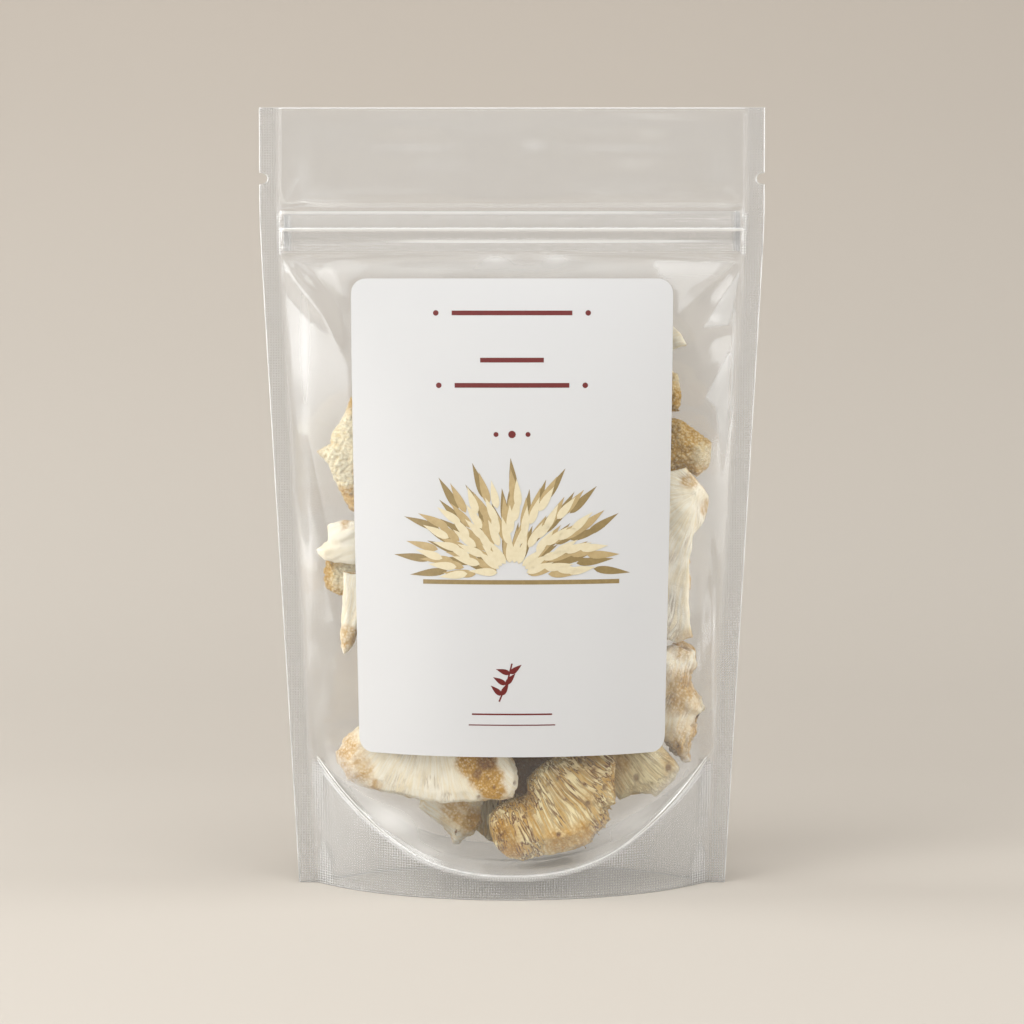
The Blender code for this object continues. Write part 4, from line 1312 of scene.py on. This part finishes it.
class DriedSettings(bpy.types.PropertyGroup):
    shown_voxel: bpy.props.FloatProperty(
        name="Fine skin", description="Face size on the pieces that show, in millimetres",
        default=0.45, min=0.2)
    hidden_voxel: bpy.props.FloatProperty(
        name="Coarse skin", description="Face size on the pieces behind the label, in millimetres",
        default=0.9, min=0.3)
    flesh: bpy.props.StringProperty(
        name="Flesh", description="sRGB hex colour of the flesh", default="#FFF9E6")
    crust: bpy.props.StringProperty(
        name="Crust", description="sRGB hex colour of the crust", default="#CC9A12")


class StageSettings(bpy.types.PropertyGroup):
    backdrop: bpy.props.StringProperty(
        name="Backdrop", description="sRGB hex colour of the paper roll", default="#D0C9BF")
    distance: bpy.props.FloatProperty(
        name="Camera distance", description="From the lens to the pouch's middle plane",
        default=1.15, unit="LENGTH")
    height: bpy.props.FloatProperty(
        name="Camera height", description="Of the lens above the floor", default=0.193, unit="LENGTH")


# Operators

class POUCH_OT_film(bpy.types.Operator):
    """Make the front and back film and the gusset"""

    bl_idname = "pouch.film"
    bl_label = "Film"

    def execute(self, context):
        settings = context.scene.pouch_film
        look = film_material("pouch_film_laminate", settings.haze, settings.clear, settings.sealed)
        back_look = film_material("back_film_laminate", settings.back_haze, settings.back_clear,
                                  settings.back_clear, veil=0.3)
        floor_look = film_material("gusset_film_laminate", "#FCFCFA", 0.1, 0.1, veil=0.05)
        lining = inner_material("polyethylene_lining", settings.haze, 0.025)
        build_film("pouch_front", -1, look, lining, *FRONT_LINES)
        build_film("pouch_back", 1, back_look, lining, *BACK_LINES)
        build_gusset(floor_look, lining)
        return {"FINISHED"}


class POUCH_OT_zip(bpy.types.Operator):
    """Make the two strips of the press-to-close zip"""

    bl_idname = "pouch.zip"
    bl_label = "Zip"

    def execute(self, context):
        look = zip_material("zip_polyethylene", "#CFCFCE")
        build_strip("zip_strip_front", "zip_ribs_front", rib_profile(), look)
        build_strip("zip_strip_back", "zip_lips_back", lip_profile(), look)
        return {"FINISHED"}


class POUCH_OT_label(bpy.types.Operator):
    """Make the paper label and its plain print"""

    bl_idname = "pouch.label"
    bl_label = "Label"

    def execute(self, context):
        settings = context.scene.pouch_label
        build_label(paper_material("satin_label_paper", settings.paper))
        red = ink_material("dark_red_ink", settings.heading, "#5E120D")
        print_shapes("label_rules", rules_and_twig(), red, INK_LIFT)
        tones = (
            # name, colour, shade
            ("olive_leaf_ink", "#A08A5C", "#7C683E"),
            ("tan_leaf_ink", "#C4AE82", "#A58C5C"),
            ("cream_leaf_ink", settings.leaf, "#D2C39C"),
        )
        for layer, ((name, colour, shade), leaves) in enumerate(zip(tones, leaf_spray())):
            print_shapes(f"label_leaves_{layer}", leaves, ink_material(name, colour, shade),
                         INK_LIFT + layer * 2 * INK_THICK)
        return {"FINISHED"}


class POUCH_OT_flesh(bpy.types.Operator):
    """Make the pale slices that show beside and below the label"""

    bl_idname = "pouch.flesh"
    bl_label = "Flesh slices"

    def execute(self, context):
        settings = context.scene.pouch_dried
        look = dried_material(
            "dried_flesh_tissue", settings.flesh, "#E9CF8C", "#D29E26", "#7A4D18", 0.45, 0.18)
        fine = settings.shown_voxel
        flesh_piece("folded_slice_left", 111, fine, look, way=(1, 0.4), grit=0.12, toast=0.5,
                    tinged=((-53, 115.5, 2.0),), lines=0.12)
        flesh_piece("tail_sliver_left", 121, fine, look, way=(0.2, 1), tinged=((-51.5, 79, 4.0),))
        flesh_piece("broad_slice", 131, fine, look, fan=(-25, 62, 30), grit=0.35, lines=0.28, veins=0.32,
                    tinged=((-54, 44, 7), (-50, 38, 6), (-44, 33, 3)),
                    golden=((-8.5, 37.5, 5.5), (-13, 41.5, 4.5), (-6, 33, 4.5), (-9, 43, 4)),
                    scorched=((-8.2, 42.0, 3.2), (-10.4, 38, 1.5)),
                    pits=((1.0, 35.6, 0.6), (-5.6, 34.4, 0.6), (-10.4, 30.6, 0.7)))
        flesh_piece("wedge_slice", 141, fine, look, way=(1, -0.75), lines=0.6,
                    tinged=((-12, 20.5, 6), (-18, 24, 6)), golden=((-11, 20, 4),))
        flesh_piece("crumpled_strip_right", 151, fine, look, way=(0.3, 1), rough=2.2, swell=1.6,
                    veins=0.7, lines=0.45, toast=1.0,
                    tinged=((54.0, 76, 4), (54.2, 62, 8), (57, 45, 8)))
        flesh_piece("petal_slice_right", 161, fine, look, fan=(60, 126, 24), lines=0.4, grit=0.15,
                    toast=1.0, veins=0.4, rough=1.3,
                    tinged=((62, 121, 2.5), (56, 129, 3), (55, 79, 3)))
        flesh_piece("pale_tip_right", 171, fine, look, toast=0.4)
        return {"FINISHED"}


class POUCH_OT_crust(bpy.types.Operator):
    """Make the golden lumps beside the label"""

    bl_idname = "pouch.crust"
    bl_label = "Golden crust"

    def execute(self, context):
        settings = context.scene.pouch_dried
        look = dried_material(
            "toasted_crust", "#FDF6D6", "#E2C878", settings.crust, "#886020", 0.35, 0.2)
        fine = 0.8 * settings.shown_voxel
        crust_piece("slice_upper_left", 101, fine, look, pitch=1.1, rough=0.8, bleach=0.7,
                    pale=((-55, 137, 7.0), (-53, 145, 7.0), (-54, 130, 4.0)))
        crust_piece("golden_lump_left", 201, fine, look, pale=((-52, 98, 6),), pitch=1.2, bleach=0.65)
        crust_piece("golden_chunk_right", 211, fine, look, pale=((60, 137, 4.2),), pitch=1.2)
        crust_piece("crust_strip_right", 221, fine, look, pitch=1.2)
        return {"FINISHED"}


class POUCH_OT_teeth(bpy.types.Operator):
    """Make the lumps of dried spines below the label"""

    bl_idname = "pouch.teeth"
    bl_label = "Toothed lumps"

    def execute(self, context):
        settings = context.scene.pouch_dried
        look = dried_material(
            "dried_spines", "#FAEBBA", "#CA9C3C", "#CA9420", "#744610", 0.35, 0.14)
        fine = 0.75 * settings.shown_voxel
        # Ragged teeth down the right edge of the large lump, as (across, up) of root and tip
        teeth = (((27, 28.5), (31.6, 25.8)), ((27, 26), (31.4, 22.4)), ((25.5, 24), (29.8, 19.8)),
                 ((24.5, 22), (27.8, 17.2)), ((23, 20.5), (25.8, 15.2)), ((20.5, 18), (23.4, 13.4)))
        tips = [((x0, -15.5, z0), (x1, -16.5, z1), 1.3) for (x0, z0), (x1, z1) in teeth]
        teeth_piece("toothed_slice", 301, fine, look, fan=(-22, 78, 60), tips=tips, parting=1.15,
                    pits=((8.8, 32.4, 0.7), (11, 34.6, 0.6), (14.2, 36.6, 0.6), (21.3, 42.3, 0.9),
                          (25.6, 39.2, 0.9), (29.2, 33.6, 0.8), (23.8, 28.4, 0.9), (14.6, 19, 0.8)),
                    grainy=((15, 16.5, 5.5), (21.5, 18.5, 4.5)), golden=((-3.5, 20, 4), (0, 14, 4)))
        teeth_piece("toothed_slice_right", 331, fine, look, fan=(20, 60, 34), swell=0.4, parting=0.42,
                    pits=((39.4, 35, 1.2), (49.6, 37.9, 1.2)))
        return {"FINISHED"}


class POUCH_OT_filling(bpy.types.Operator):
    """Make the pieces behind the label, which show from behind and through the gaps"""

    bl_idname = "pouch.filling"
    bl_label = "Filling"

    def execute(self, context):
        coarse = context.scene.pouch_dried.hidden_voxel
        flesh, spines, crust = (bpy.data.materials[name] for name in (
            "dried_flesh_tissue", "dried_spines", "toasted_crust"))
        for at, node in enumerate(sorted(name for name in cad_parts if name.startswith("slab_"))):
            seed = 401 + 10 * at
            way = (float(np.cos(at)), float(np.sin(at)))
            if node in HIDDEN_SPINES:
                teeth_piece(node, seed, 0.7 * coarse, spines, way=way, rough=2.0, coarse=1.8)
            elif node in HIDDEN_CRUST:
                # The piece seen in the gap behind the others is darkened all over as painted shadow
                painted_shade = 0.85 if node == "slab_shadowed" else 0.0
                crust_piece(node, seed, coarse, crust, pitch=2.0, rough=2.0, painted_shade=painted_shade)
            else:
                flesh_piece(node, seed, coarse, flesh, way=way, rough=2.0, grit=0.5)
        return {"FINISHED"}


LIGHTS = (
    # name, place, aimed at, width and height in metres, radiance
    ("key", (-0.80, -0.72, 0.50), (0, 0, 0.12), (0.8, 0.9), 3.0),
    ("left_panel", (-0.90, 0.15, 0.30), (0, 0, 0.12), (0.5, 0.9), 3.8),
    ("right_panel", (0.85, -0.10, 0.30), (0, 0, 0.12), (0.5, 0.9), 2.8),
    ("top", (0.0, -0.50, 1.05), (0, 0, 0.16), (1.5, 0.35), 3.2),
    ("front", (0.1, -1.60, 1.00), (0, 0, 0.16), (2.2, 0.8), 1.0),
)


class POUCH_OT_stage(bpy.types.Operator):
    """Set the paper roll, the soft lights and the camera"""

    bl_idname = "pouch.stage"
    bl_label = "Stage"

    def execute(self, context):
        settings = context.scene.pouch_stage
        scene = context.scene
        build_backdrop(settings.backdrop)
        for name, place, aim, size, radiance in LIGHTS:
            lamp = bpy.data.lights.new(name, "AREA")
            lamp.shape = "RECTANGLE"
            lamp.size, lamp.size_y = size
            lamp.energy = radiance * np.pi * size[0] * size[1]
            held = bpy.data.objects.new(name, lamp)
            held.location = place
            held.rotation_euler = (Vector(aim) - Vector(place)).to_track_quat("-Z", "Y").to_euler()
            held.visible_camera = False
            scene.collection.objects.link(held)
        world = bpy.data.worlds.new("studio")
        world.use_nodes = True
        world.node_tree.nodes.clear()
        air = add(world.node_tree, "ShaderNodeBackground", {
            "Color": linear("#FAF9F7"), "Strength": 0.36})
        add(world.node_tree, "ShaderNodeOutputWorld", {"Surface": air.outputs[0]})
        scene.world = world
        lens = bpy.data.cameras.new("camera")
        lens.sensor_width = 36.0
        lens.lens = 36.0 * FOCAL_SHARE
        eye = bpy.data.objects.new("camera", lens)
        eye.location = (0, -settings.distance, settings.height)
        aim = Vector((0, 0, AIM_HEIGHT * MM))
        eye.rotation_euler = (aim - Vector(eye.location)).to_track_quat("-Z", "Y").to_euler()
        scene.collection.objects.link(eye)
        scene.camera = eye
        scene.view_settings.view_transform = "Standard"
        # A ray meets up to ten skins of clear film, so as many must let it through
        scene.cycles.transparent_max_bounces = 32
        scene.cycles.max_bounces = 5
        scene.cycles.diffuse_bounces = 2
        scene.cycles.glossy_bounces = 2
        return {"FINISHED"}


def build_backdrop(colour):
    """A paper roll: floor, a wide curve and a wall behind the pouch."""
    made, tree = new_material("matt_backdrop_paper")
    coordinates = add(tree, "ShaderNodeTexCoord", {}).outputs["Object"]
    # Its flecks are drawn about 1.1 mm wide, coarser than real ones, which wouldn't show
    fibre = add(tree, "ShaderNodeTexNoise", {
        "Vector": coordinates, "Scale": 0.9 / MM, "Detail": 3.0})
    tint = add(tree, "ShaderNodeMapRange", {"Value": fibre.outputs["Fac"], "To Max": 0.06})
    height = add(tree, "ShaderNodeSeparateXYZ", {0: coordinates})
    # Painted shade: the paper darkens from the floor up the curve to the wall, standing in for the light
    # falling off
    upper = add(tree, "ShaderNodeMapRange", {
        "Value": height.outputs["Z"], "From Min": 0.06, "From Max": 0.36})
    painted_falloff = add(tree, "ShaderNodeMix", {
        "data_type": "RGBA", "Factor": upper.outputs[0], 6: linear(colour), 7: linear("#C6BDB2")})
    mixed = add(tree, "ShaderNodeMix", {
        "data_type": "RGBA", "Factor": tint.outputs[0], 6: painted_falloff.outputs["Result"],
        7: linear("#B8AB9C")})
    skin = add(tree, "ShaderNodeBsdfPrincipled", {
        "Base Color": mixed.outputs["Result"], "Roughness": 0.9, "IOR": 1.4})
    add(tree, "ShaderNodeOutputMaterial", {"Surface": skin.outputs[0]})
    bm = bmesh.new()
    bmesh.ops.create_grid(bm, x_segments=4, y_segments=40, size=1.0)
    near_edge, curve_start, radius = -3.0, 0.35, 0.6
    half_wide, wall_height = 2.6, 2.6
    flat = curve_start - near_edge
    quarter = radius * np.pi / 2
    total = flat + quarter + wall_height
    for vert in bm.verts:
        along = (vert.co.y + 1) / 2 * total
        turn = float(np.clip((along - flat) / quarter, 0, 1)) * np.pi / 2
        y = near_edge + min(along, flat) + radius * np.sin(turn)
        z = radius * (1 - np.cos(turn)) + max(0.0, along - flat - quarter)
        vert.co = Vector((vert.co.x * half_wide, y, z))
    mesh = bpy.data.meshes.new("backdrop")
    bm.to_mesh(mesh)
    bm.free()
    mesh.materials.append(made)
    mesh.polygons.foreach_set("use_smooth", [True] * len(mesh.polygons))
    roll = bpy.data.objects.new("backdrop", mesh)
    bpy.context.scene.collection.objects.link(roll)


class POUCH_PT_panel(bpy.types.Panel):
    """Buttons for each part of the pouch"""

    bl_label = "Pouch"
    bl_idname = "POUCH_PT_panel"
    bl_space_type = "VIEW_3D"
    bl_region_type = "UI"
    bl_category = "Pouch"

    def draw(self, context):
        for group in (context.scene.pouch_film, context.scene.pouch_label, context.scene.pouch_dried,
                      context.scene.pouch_stage):
            for name in group.__annotations__:
                self.layout.prop(group, name)
        for step in STEPS:
            self.layout.operator(step.bl_idname)


STEPS = (POUCH_OT_stage, POUCH_OT_film, POUCH_OT_zip, POUCH_OT_label, POUCH_OT_flesh,
         POUCH_OT_crust, POUCH_OT_teeth, POUCH_OT_filling)
GROUPS = {"pouch_film": FilmSettings, "pouch_label": LabelSettings, "pouch_dried": DriedSettings,
          "pouch_stage": StageSettings}


def register():
    for name, group in GROUPS.items():
        bpy.utils.register_class(group)
        setattr(bpy.types.Scene, name, bpy.props.PointerProperty(type=group))
    for item in (*STEPS, POUCH_PT_panel):
        bpy.utils.register_class(item)


def unregister():
    for item in (POUCH_PT_panel, *reversed(STEPS)):
        bpy.utils.unregister_class(item)
    for name, group in GROUPS.items():
        delattr(bpy.types.Scene, name)
        bpy.utils.unregister_class(group)


def main():
    register()
    for step in STEPS:
        family, name = step.bl_idname.split(".")
        getattr(getattr(bpy.ops, family), name)()


if __name__ == "__main__":
    main()
